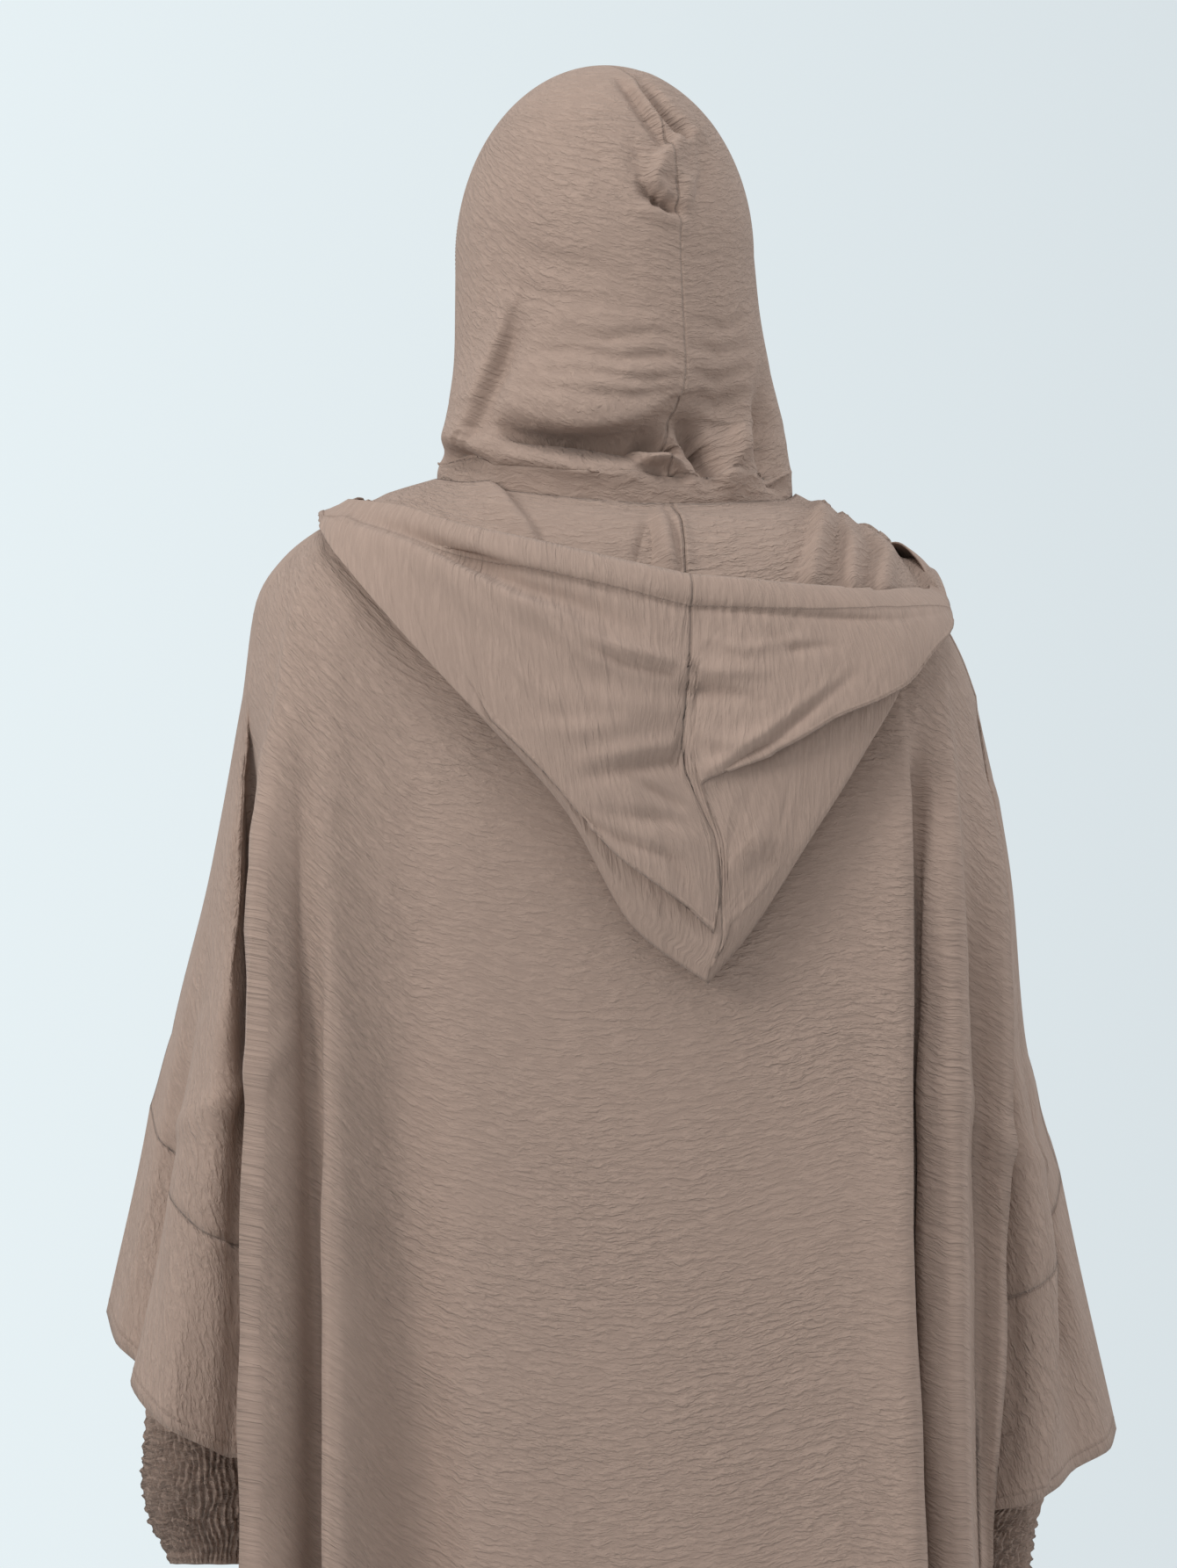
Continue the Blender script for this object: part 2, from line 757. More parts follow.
@dataclass
class BodyCloth:
    """The body, cut in one with its batwings, and the sleeves that are set on to them."""

    levels: tuple[float, ...] = (-100, -208, -300, -468, -600, -1000, -1355)
    wide_level: int = 3
    underarm_z: float = -300.0
    arm_stations: tuple[float, ...] = (0.0, 108.0, 200.0, 290.0, 400.0)
    shoulder_fall: float = 2.2
    oval_fade: float = 1.5
    dome_rows: int = 30
    arm_grain: float = 68.0
    arm_origin: float = 260.0
    body_lean: float = 0.7
    row_height: float = 5.5
    column_width: float = 5.5
    sleeve_rows: int = 40
    form: ClothForm = field(default_factory=ClothForm)

    def heights(self, top: float, bottom: float) -> list[float]:
        """Evenly spaced heights from below one height down to another."""
        count = round((top - bottom) / self.row_height)
        return [top + (bottom - top) * i / count for i in range(1, count + 1)]

    def shoulder_points(self, cap: Grid, row: float) -> Grid:
        """Points of the cap's section, carried up to a row of the shoulders.

        Args:
            cap: The points at the cap, an x and a y each.
            row: The row, counted in rows of the table, and fractions of one.

        Returns:
            One point each.
        """
        last = len(SHOULDER_ROWS) - 1
        table = [row.left + row.right + row.back + row.front for row in SHOULDER_ROWS]
        left_x, left_z, right_x, right_z, back_y, back_z, front_y, front_z = SoftTable(
            range(len(table)), table).at(row)[0]
        end = SHOULDER_ROWS[last]
        left = cap[:, 0] < 0
        behind = cap[:, 1] < 0
        share = cap[:, 0] / np.where(left, end.left[0], end.right[0])
        side_x = np.where(left, left_x, right_x)
        side_z = np.where(left, left_z, right_z)
        cap_y = np.where(behind, end.back[0], end.front[0])
        row_y = np.where(behind, back_y, front_y)
        mid_z = np.where(behind, back_z, front_z)
        depth = np.sqrt(np.maximum(0.0, 1.0 - np.minimum(np.abs(share), 1.0) ** 2))
        oval = (1.0 - row / last) ** self.oval_fade
        y = cap[:, 1] * row_y / cap_y * (1 - oval) + row_y * depth * oval
        z = mid_z + (side_z - mid_z) * np.abs(share) ** self.shoulder_fall
        return np.stack([share * side_x, y, z], axis=1)

    def section(self, lines: Sequence[ClothLine], z: float) -> Grid:
        """Where the body's lines are at a height."""
        table = [np.ravel([line.spots[i] for line in lines]) for i in range(len(self.levels))]
        return SoftTable([-level for level in self.levels], table).at(-z)[0].reshape(-1, 2)

    def dome_steps(self) -> list[float]:
        """The rows of cloth over the shoulders, counted in rows of their table."""
        last = len(SHOULDER_ROWS) - 1
        return [last * i / self.dome_rows for i in range(self.dome_rows)]

    def panel(self, lines: Sequence[ClothLine]) -> Grid:
        """The back or the front of the body as a grid of points.

        Args:
            lines: The panel's lines from left to right as the garment's outside shows it.

        Returns:
            Points by row and column.
        """
        cap = self.section(lines, self.levels[0])
        wide = self.section(lines, self.levels[self.wide_level])
        places = even_places(wide, round(way_along(wide)[-1] / self.column_width))
        rows = [self.shoulder_points(chord_line(cap, places), step) for step in self.dome_steps()]
        falls = [self.levels[0]] + self.heights(self.levels[0], self.underarm_z)
        for z in falls + self.heights(self.underarm_z, self.levels[-1]):
            spots = chord_line(self.section(lines, z), places)
            rows.append(np.column_stack([spots, np.full(len(spots), z)]))
        return np.array(rows)

    def arm_side(self, arm: Arm, front: bool) -> Grid:
        """The back or the front of one arm as a grid of points, from its overarm to its underarm.

        Args:
            arm: The arm.
            front: Whether it is the front half.

        Returns:
            Points by row and column.
        """
        lines = arm.lines[:arm.underarm + 1]
        if front:
            lines = (arm.lines[0],) + tuple(reversed(arm.lines[arm.underarm:]))
        body = FRONT_LINES if front else BACK_LINES
        side = 0 if (arm.side is Side.LEFT) is not front else len(body) - 1
        caps = np.array([line.spots[0] for line in lines], float)
        stations = range(len(self.arm_stations))
        table = SoftTable(self.arm_stations, [np.ravel([line.spots[i] for line in lines]) for i in stations])
        wide = table.at(self.arm_stations[SEAM_STATION])[0].reshape(-1, 2)
        places = even_places(wide, round(way_along(wide)[-1] / self.column_width))
        edge = np.array([body[side].spots[0]], float)
        rows = []
        for step in self.dome_steps():
            row = self.shoulder_points(chord_line(caps, places), step)
            row[-1] = self.shoulder_points(edge, step)[0]
            rows.append(row)
        for z in [self.levels[0]] + self.heights(self.levels[0], self.underarm_z):
            spots = chord_line(table.at(self.levels[0] - z)[0].reshape(-1, 2), places)
            row = np.column_stack([spots, np.full(len(spots), z)])
            row[-1, :2] = self.section([body[side]], z)[0]
            rows.append(row)
        hem = table.at(self.arm_stations[HEM_STATION])[0].reshape(-1, 2)
        seam_z, hem_z = arm.seam.height(chord_line(wide, places)), arm.hem.height(chord_line(hem, places))
        underarm_z = np.full(len(places), self.underarm_z)
        for part, top, bottom in ((UNDERARM_STATION, underarm_z, seam_z), (SEAM_STATION, seam_z, hem_z)):
            start, end = self.arm_stations[part], self.arm_stations[part + 1]
            for i in range(1, self.sleeve_rows // 2 + 1):
                share = 2 * i / self.sleeve_rows
                spots = chord_line(table.at(start + share * (end - start))[0].reshape(-1, 2), places)
                rows.append(np.column_stack([spots, top + share * (bottom - top)]))
        return np.array(rows)

    def lay_out(self) -> None:
        """Lay the whole body out as one form."""
        for lines, piece in ((BACK_LINES, BodyPiece.BACK), (FRONT_LINES, BodyPiece.FRONT)):
            self.form.lay(self.panel(lines), lambda row, column, piece=piece: piece.value, (0.0, 0.0),
                          lean=self.body_lean)
        for arm in (LEFT_ARM, RIGHT_ARM):
            sleeve = BodyPiece.SLEEVE_LEFT if arm.side is Side.LEFT else BodyPiece.SLEEVE_RIGHT
            for front in (False, True):
                places = self.arm_side(arm, front)
                if (arm.side is Side.LEFT) is front:
                    places = places[:, ::-1]
                seam_row = len(places) - 1 - self.sleeve_rows // 2
                panel = BodyPiece.FRONT if front else BodyPiece.BACK
                above, below = panel.value, sleeve.value
                self.form.lay(places, lambda row, column, seam_row=seam_row, above=above, below=below:
                              below if row >= seam_row else above,
                              (arm.side.value * self.arm_origin, 0.0), self.arm_grain)
        self.form.join()


Wire = bpy.types.NodeSocket | float
RGBA_A, RGBA_B, RGBA_OUT = 6, 7, 2


class NodeTree:
    """A node tree, with short ways to add to it."""

    def __init__(self, tree: bpy.types.NodeTree) -> None:
        """Take a node tree."""
        self.tree = tree

    def add(self, kind: str, inputs: dict | None = None, **settings: object) -> bpy.types.Node:
        """Add a node.

        Args:
            kind: Its type.
            inputs: Values or sockets for its inputs, by name or number.
            settings: Its own settings.

        Returns:
            The node.
        """
        node = self.tree.nodes.new(kind)
        for key, value in settings.items():
            setattr(node, key, value)
        for key, value in (inputs or {}).items():
            if isinstance(value, bpy.types.NodeSocket):
                self.tree.links.new(value, node.inputs[key])
            else:
                node.inputs[key].default_value = value
        return node

    def sum(self, operation: str, *values: Wire) -> bpy.types.NodeSocket:
        """A calculation on one to three values or sockets."""
        return self.add("ShaderNodeMath", dict(enumerate(values)), operation=operation).outputs[0]

    def fade(self, value: Wire, start: float, end: float, low: float = 0.0,
             high: float = 1.0) -> bpy.types.NodeSocket:
        """A smooth change from low to high while a value goes from start to end."""
        inputs = {"Value": value, "From Min": start, "From Max": end, "To Min": low, "To Max": high}
        return self.add("ShaderNodeMapRange", inputs, interpolation_type="SMOOTHSTEP").outputs[0]

    def measure(self, name: str) -> bpy.types.NodeSocket:
        """A number that the mesh keeps on its points."""
        return self.add("ShaderNodeAttribute", attribute_name=name).outputs["Fac"]

    def noise(self, vector: Wire, scale: float, detail: float = 2.0, rough: float = 0.5,
              warp: float = 0.0) -> bpy.types.NodeSocket:
        """Soft noise at places."""
        inputs = {"Vector": vector, "Scale": scale, "Detail": detail, "Roughness": rough, "Distortion": warp}
        return self.add("ShaderNodeTexNoise", inputs).outputs[0]

    def stretch(self, vector: Wire, along: float, across: float, turn: float = 0.0) -> bpy.types.NodeSocket:
        """Flat places turned by an angle and then stretched along and across."""
        turned = self.add("ShaderNodeMapping", {"Vector": vector, "Rotation": (0.0, 0.0, radians(turn))})
        scale = {"Vector": turned.outputs[0], "Scale": (along, across, 1.0)}
        return self.add("ShaderNodeMapping", scale).outputs[0]

    def blend(self, share: Wire, first: Colour, second: Colour) -> bpy.types.NodeSocket:
        """One colour, or another by a share of 1."""
        inputs = {0: share, RGBA_A: (*first, 1.0), RGBA_B: (*second, 1.0)}
        return self.add("ShaderNodeMix", inputs, data_type="RGBA").outputs[RGBA_OUT]


class NodeSheet(NodeTree):
    """The node tree of a material of its own."""

    def __init__(self, name: str, roughness: float) -> None:
        """Start a material with a Principled shader."""
        self.material = bpy.data.materials.new(name)
        self.material.use_nodes = True
        super().__init__(self.material.node_tree)
        self.shader = self.tree.nodes["Principled BSDF"]
        self.shader.inputs["Roughness"].default_value = roughness


@dataclass(frozen=True)
class CrepeFinish:
    """Matt crinkled crepe: short wavy wrinkles along one direction, over a fine dull weave.

    A Fade holds where a value starts and ends, and what it becomes there.
    """

    name: str
    colour: Colour = (0.318, 0.234, 0.190)
    dark: Colour = (0.200, 0.146, 0.117)
    sheen_colour: Colour = (0.86, 0.80, 0.76)
    roughness: float = 0.93
    specular: float = 0.18
    sheen: float = 0.10
    sheen_roughness: float = 0.55
    bend_scale: float = 26.0
    bend: float = 0.009
    jog_scale: float = 150.0
    wrinkle_length: float = 14.0
    wrinkle_pitch: float = 3.3
    wrinkle_height: float = 0.95
    wrinkle_strength: Fade = (0.30, 0.66, 0.45, 1.25)
    ridge_span: tuple[float, float] = (0.32, 0.70)
    ridge_power: float = 1.2
    ridge_share: float = 0.95
    broad_share: float = 0.3
    fine_along: float = 3.1
    fine_across: float = 2.7
    fine_height: float = 0.30
    jog: float = 0.0034
    weave_along: float = 1500.0
    weave_across: float = 1900.0
    weave_height: float = 0.05
    patch_scale: float = 7.0
    crumple_along: float = 26.0
    crumple_across: float = 44.0
    crumple_turn: float = 32.0
    crumple_height: float = 0.5
    hem_width: float = 8.0
    hem_edge: float = 1.6
    hem_height: float = 0.5
    stitch_reach: tuple[float, float] = (0.6, 1.4)
    stitch_depth: float = 0.45
    stitch_shade: float = 0.32
    seam_width: float = 1.3
    seam_depth: float = 0.22
    seam_swell: float = 0.2
    swell_start: float = 0.4
    swell_reach: float = 3.2
    seam_line: tuple[float, float] = (0.3, 1.1)
    seam_shade: float = 0.30
    wrinkle_shade: Fade = (0.15, 0.95, 0.945, 1.03)
    fine_shade: Fade = (0.25, 0.75, 0.97, 1.03)
    patch_shade: Fade = (0.25, 0.75, 0.975, 1.025)

    def make(self) -> bpy.types.Material:
        """Build the material.

        Returns:
            The material.
        """
        sheet = NodeSheet(self.name, self.roughness)
        cut = sheet.add("ShaderNodeUVMap", uv_map="cut").outputs[0]
        bend = sheet.sum("SUBTRACT", sheet.noise(cut, self.bend_scale), 0.5)
        jog = sheet.sum("SUBTRACT", sheet.noise(cut, self.jog_scale, 2.0, 0.6), 0.5)
        shift = sheet.sum("MULTIPLY_ADD", bend, self.bend, sheet.sum("MULTIPLY", jog, self.jog))
        wavy = sheet.add("ShaderNodeCombineXYZ", {"Y": shift}).outputs[0]
        bent = sheet.add("ShaderNodeVectorMath", {0: cut, 1: wavy}, operation="ADD").outputs[0]
        along, across = 1 / (self.wrinkle_length * MM), 1 / (self.wrinkle_pitch * MM)
        broad = sheet.noise(sheet.stretch(bent, along * 0.5, across * 0.5), 1.0, 2.0, 0.55)
        mid = sheet.noise(sheet.stretch(bent, along, across), 1.0, 3.0, 0.62, 0.25)
        finer = sheet.stretch(bent, along * self.fine_along, across * self.fine_across)
        fine = sheet.noise(finer, 1.0, 2.0, 0.6)
        weave = sheet.noise(sheet.stretch(cut, self.weave_along, self.weave_across), 1.0, 1.0)
        patch = sheet.noise(cut, self.patch_scale)
        strength = sheet.fade(patch, *self.wrinkle_strength)
        ridge = sheet.sum("POWER", sheet.fade(mid, *self.ridge_span), self.ridge_power)
        crinkle = sheet.sum("ADD", sheet.sum("MULTIPLY", ridge, self.ridge_share),
                            sheet.sum("MULTIPLY", broad, self.broad_share))
        height = sheet.sum("MULTIPLY", sheet.sum("MULTIPLY", crinkle, strength), self.wrinkle_height)
        places = sheet.stretch(cut, self.crumple_along, self.crumple_across, self.crumple_turn)
        crumple = sheet.noise(places, 1.0, 2.0, 0.45, 0.9)
        for relief, depth in ((fine, self.fine_height), (weave, self.weave_height),
                              (crumple, self.crumple_height)):
            height = sheet.sum("ADD", height, sheet.sum("MULTIPLY", relief, depth))
        height, line = self.sewing(sheet, height)
        bump = sheet.add("ShaderNodeBump", {"Strength": 1.0, "Distance": MM, "Height": height})
        sheet.tree.links.new(bump.outputs[0], sheet.shader.inputs["Normal"])
        self.paint(sheet, crinkle, fine, patch, line)
        return sheet.material

    def sewing(self, sheet: NodeSheet, height: Wire) -> tuple[Wire, Wire]:
        """Add the turned hem and the seam's line to the height.

        Args:
            sheet: The material's nodes.
            height: The height so far, in millimetres.

        Returns:
            The new height, and how much of the colour is in a sewn line's shade.
        """
        edge, seam = sheet.measure("edge"), sheet.measure("seam")
        turned = sheet.fade(edge, self.hem_width, self.hem_width + self.hem_edge, self.hem_height, 0.0)
        pinch = sheet.fade(seam, 0.0, self.seam_width, -self.seam_depth, 0.0)
        swell_end = self.seam_width * self.swell_reach
        outer = sheet.fade(seam, self.seam_width, swell_end, self.seam_swell, 0.0)
        swell = sheet.sum("MULTIPLY", outer, sheet.fade(seam, self.swell_start, self.seam_width))
        total = sheet.sum("ADD", sheet.sum("ADD", height, turned), sheet.sum("ADD", pinch, swell))
        short, far = self.stitch_reach
        above = sheet.fade(edge, self.hem_width - self.hem_edge, self.hem_width - short)
        below = sheet.fade(edge, self.hem_width, self.hem_width + far, 1.0, 0.0)
        stitch = sheet.sum("MULTIPLY", above, below)
        total = sheet.sum("ADD", total, sheet.sum("MULTIPLY", stitch, -self.stitch_depth))
        line = sheet.sum("MAXIMUM", sheet.fade(seam, *self.seam_line, self.seam_shade, 0.0),
                         sheet.sum("MULTIPLY", stitch, self.stitch_shade))
        return total, line

    def paint(self, sheet: NodeSheet, crinkle: Wire, fine: Wire, patch: Wire, line: Wire) -> None:
        """Colour the cloth: darker in its wrinkles and sewn lines, and a little uneven.

        Args:
            sheet: The material's nodes.
            crinkle: The wrinkles' height.
            fine: The finest wrinkles' height.
            patch: Slow unevenness.
            line: The share of a sewn line's shade.
        """
        shade = sheet.fade(crinkle, *self.wrinkle_shade)
        shade = sheet.sum("MULTIPLY", shade, sheet.fade(fine, *self.fine_shade))
        shade = sheet.sum("MULTIPLY", shade, sheet.fade(patch, *self.patch_shade))
        base = sheet.blend(line, self.colour, self.dark)
        tint = sheet.add("ShaderNodeVectorMath", {"Vector": base, "Scale": shade}, operation="SCALE")
        sheet.tree.links.new(tint.outputs[0], sheet.shader.inputs["Base Color"])
        sheet.shader.inputs["Specular IOR Level"].default_value = self.specular
        sheet.shader.inputs["Sheen Weight"].default_value = self.sheen
        sheet.shader.inputs["Sheen Roughness"].default_value = self.sheen_roughness
        sheet.shader.inputs["Sheen Tint"].default_value = (*self.sheen_colour, 1.0)


NECK_ROW = SHOULDER_ROWS[0]
NECK_FALL = 2.2


def neck_points(turns: Grid, rise: float, out: float) -> Grid:
    """Points by the neck seam, whose height changes mostly near the sides.

    Args:
        turns: Their turns in degrees from the middle of the back towards the right.
        rise: Height above the seam.
        out: Distance outside it.

    Returns:
        One point a turn.
    """
    angle = np.radians(np.atleast_1d(turns))
    away = np.stack([np.sin(angle), -np.cos(angle)], axis=1)
    behind = np.cos(angle) > 0
    side_z = np.where(np.sin(angle) < 0, NECK_ROW.left[1], NECK_ROW.right[1])
    mid_y = np.where(behind, NECK_ROW.back[0], NECK_ROW.front[0])
    mid_z = np.where(behind, NECK_ROW.back[1], NECK_ROW.front[1])
    share = np.abs(np.sin(angle))
    flat = np.stack([NECK_ROW.right[0] * np.sin(angle), mid_y * np.abs(np.cos(angle))], axis=1) + away * out
    return np.column_stack([flat, mid_z + (side_z - mid_z) * share ** NECK_FALL + rise])


@dataclass(frozen=True)
class HeadRing:
    """A section of the inner hood: its height, centre, half sizes, turn and reach.

    The turn is where its middle seam lies and the reach is how far it goes round from there, in degrees.
    follow is the share of the neck seam's rise and fall that its height takes.
    """

    z: float
    centre: tuple[float, float]
    half_width: float
    back: float
    front: float
    turn: float
    reach: float
    follow: float


HEAD_RINGS = (
    HeadRing(37.6, (0, 0), 105, 92, 78, 19, 178, 1.0),
    HeadRing(50, (0, 1), 104, 91, 79, 20, 172, 0.9),
    HeadRing(62, (0, 3), 103, 84, 80, 22, 165, 0.8),
    HeadRing(78, (-1, 6), 99, 92, 84, 25, 156, 0.6),
    HeadRing(100, (-3, 9), 93, 99, 90, 27, 145, 0.35),
    HeadRing(130, (-5, 12), 88, 101, 97, 27, 134, 0.15),
    HeadRing(161, (-6, 14), 85.5, 100, 100, 27, 127, 0.0),
)


class HoodPiece(Enum):
    """The pieces of the neck band and the inner hood."""

    BAND = 0
    LEFT = 1
    RIGHT = 2


@dataclass
class HeadHood:
    """The inner hood, worn up, in two halves over a neck band, with its face opening in front."""

    seam_turn: float = 19.0
    band_rise: float = 1.4
    band_height: float = 14.3
    band_out: float = 0.6
    band_rows: int = 7
    band_tuck: float = -4.0
    band_origin: tuple[float, float] = (0.0, -300.0)
    half_origin: float = 150.0
    left_grain: float = 17.0
    right_grain: float = -7.0
    join_gap: float = 0.4
    crown_height: float = 114.0
    crown_climbs: tuple[float, ...] = (0, 15, 30, 41, 52, 90)
    crown_reaches: tuple[float, ...] = (127, 130, 137, 153, 180, 180)
    columns: int = 136
    tube_rows: int = 70
    crown_rows: int = 84
    form: ClothForm = field(default_factory=lambda: ClothForm(HoodPiece.BAND.value))

    def ring_at(self, up: float) -> HeadRing:
        """The hood's section at a place between the given ones, counted in them from the lowest."""
        table = [[ring.z, *ring.centre, ring.half_width, ring.back, ring.front, ring.turn, ring.reach,
                  ring.follow] for ring in HEAD_RINGS]
        z, x, y, *rest = SoftTable(range(len(table)), table).at(up)[0]
        return HeadRing(z, (x, y), *rest)

    def ring_points(self, ring: HeadRing, turns: Grid, level: float, z: float) -> Grid:
        """Points round one section of the hood.

        Args:
            ring: The section.
            turns: Angles from the seam in radians, below zero to the left.
            level: How much of its width the section keeps.
            z: Its height.

        Returns:
            One point an angle.
        """
        x = ring.half_width * np.sin(turns) * level
        y = -np.where(np.cos(turns) > 0, ring.back, ring.front) * np.cos(turns) * level
        turn = radians(ring.turn)
        flat = np.stack([x * cos(turn) - y * sin(turn), x * sin(turn) + y * cos(turn)], axis=1)
        return np.column_stack([flat + np.array(ring.centre), np.full(len(turns), z)])

    def half(self, side: Side) -> Grid:
        """Half of the hood as a grid of points, from its crown down and from left to right."""
        shares = np.linspace(0.0, 1.0, self.columns + 1) * side.value
        first = neck_points(self.seam_turn + HEAD_RINGS[0].reach * shares,
                            self.band_rise + self.band_height, self.band_out)
        rows = []
        last = len(HEAD_RINGS) - 1
        for i in range(self.tube_rows):
            up = last * i / self.tube_rows
            ring = self.ring_at(up)
            points = self.ring_points(ring, radians(ring.reach) * shares, 1.0, ring.z)
            low = neck_points(ring.turn + ring.reach * shares, 0.0, 0.0)[:, 2] - NECK_ROW.back[1]
            points[:, 2] += ring.follow * low
            rows.append(first + (points - first) * min(up, 1.0))
        top = self.ring_at(last)
        reach = SoftTable(self.crown_climbs, self.crown_reaches)
        for climb in np.linspace(0.0, 90.0, self.crown_rows + 1):
            span = radians(reach.at(climb)[0, 0]) * shares
            z = top.z + self.crown_height * sin(radians(climb))
            rows.append(self.ring_points(top, span, cos(radians(climb)), z))
        grid = np.array(rows)[::-1]
        return grid if side is Side.RIGHT else grid[:, ::-1]

    def band(self) -> Grid:
        """The neck band as a grid of points."""
        half = np.linspace(0.0, HEAD_RINGS[0].reach, self.columns + 1)
        turns = self.seam_turn + np.concatenate([[-180.0], -half[::-1], half[1:], [180.0]])
        rises = np.linspace(1.0, 0.0, self.band_rows) * self.band_height + self.band_rise
        rises = np.append(rises, self.band_tuck)
        return np.array([neck_points(turns, rise, self.band_out) for rise in rises])

    def lay_out(self) -> None:
        """Lay the band and both halves out as one form."""
        self.form.lay(self.band(), lambda row, column: HoodPiece.BAND.value, self.band_origin)
        self.form.lay(self.half(Side.LEFT), lambda row, column: HoodPiece.LEFT.value,
                      (-self.half_origin, 0.0), self.left_grain)
        self.form.lay(self.half(Side.RIGHT), lambda row, column: HoodPiece.RIGHT.value,
                      (self.half_origin, 0.0), self.right_grain)
        self.form.join(self.join_gap)


@dataclass(frozen=True)
class HoodStation:
    """A place round the neck: its turn, the rim and the outer fold there, and the near layer's ridge."""

    turn: float
    rim: tuple[float, float, float]
    fold: tuple[float, float, float]
    ridge: float
    lift: float


LEFT_STATIONS = (
    HoodStation(19, (45, -176, -28), (55, -186, -270), 0.10, 0),
    HoodStation(0, (0, -174, -18), (12, -186, -238), 0.16, 12),
    HoodStation(-20, (-48, -168, -7), (-30, -182, -167), 0.11, 7),
    HoodStation(-42, (-90, -151, 2), (-85, -172, -106), 0.10, 0),
    HoodStation(-65, (-130, -116, 14), (-135, -150, -46), 0.10, 0),
    HoodStation(-84, (-158, -60, 17), (-170, -78, 0), 0.10, 0),
    HoodStation(-100, (-150, 2, 11), (-168, 2, 1), 0.10, 0),
    HoodStation(-126, (-116, 66, 2), (-132, 72, -20), 0.10, 0),
    HoodStation(-152, (-62, 100, -24), (-74, 114, -50), 0.10, 0),
    HoodStation(-179, (-2, 112, -36), (-2, 128, -66), 0.10, 0),
)
RIGHT_STATIONS = (
    HoodStation(19, (45, -176, -28), (55, -186, -270), 0.48, 0),
    HoodStation(32, (75, -172, -30), (80, -184, -240), 0.48, 7.5),
    HoodStation(45, (105, -162, -33), (112, -178, -190), 0.47, 13.5),
    HoodStation(58, (135, -146, -35), (142, -168, -137), 0.36, 13.5),
    HoodStation(72, (164, -114, -36), (170, -144, -84), 0.14, 8),
    HoodStation(86, (188, -62, -34), (194, -84, -56), 0.10, 0),
    HoodStation(102, (166, 2, -6), (184, 2, -28), 0.10, 0),
    HoodStation(126, (126, 66, -8), (142, 72, -34), 0.10, 0),
    HoodStation(152, (66, 100, -26), (78, 114, -54), 0.10, 0),
    HoodStation(179, (2, 112, -36), (2, 128, -66), 0.10, 0),
)


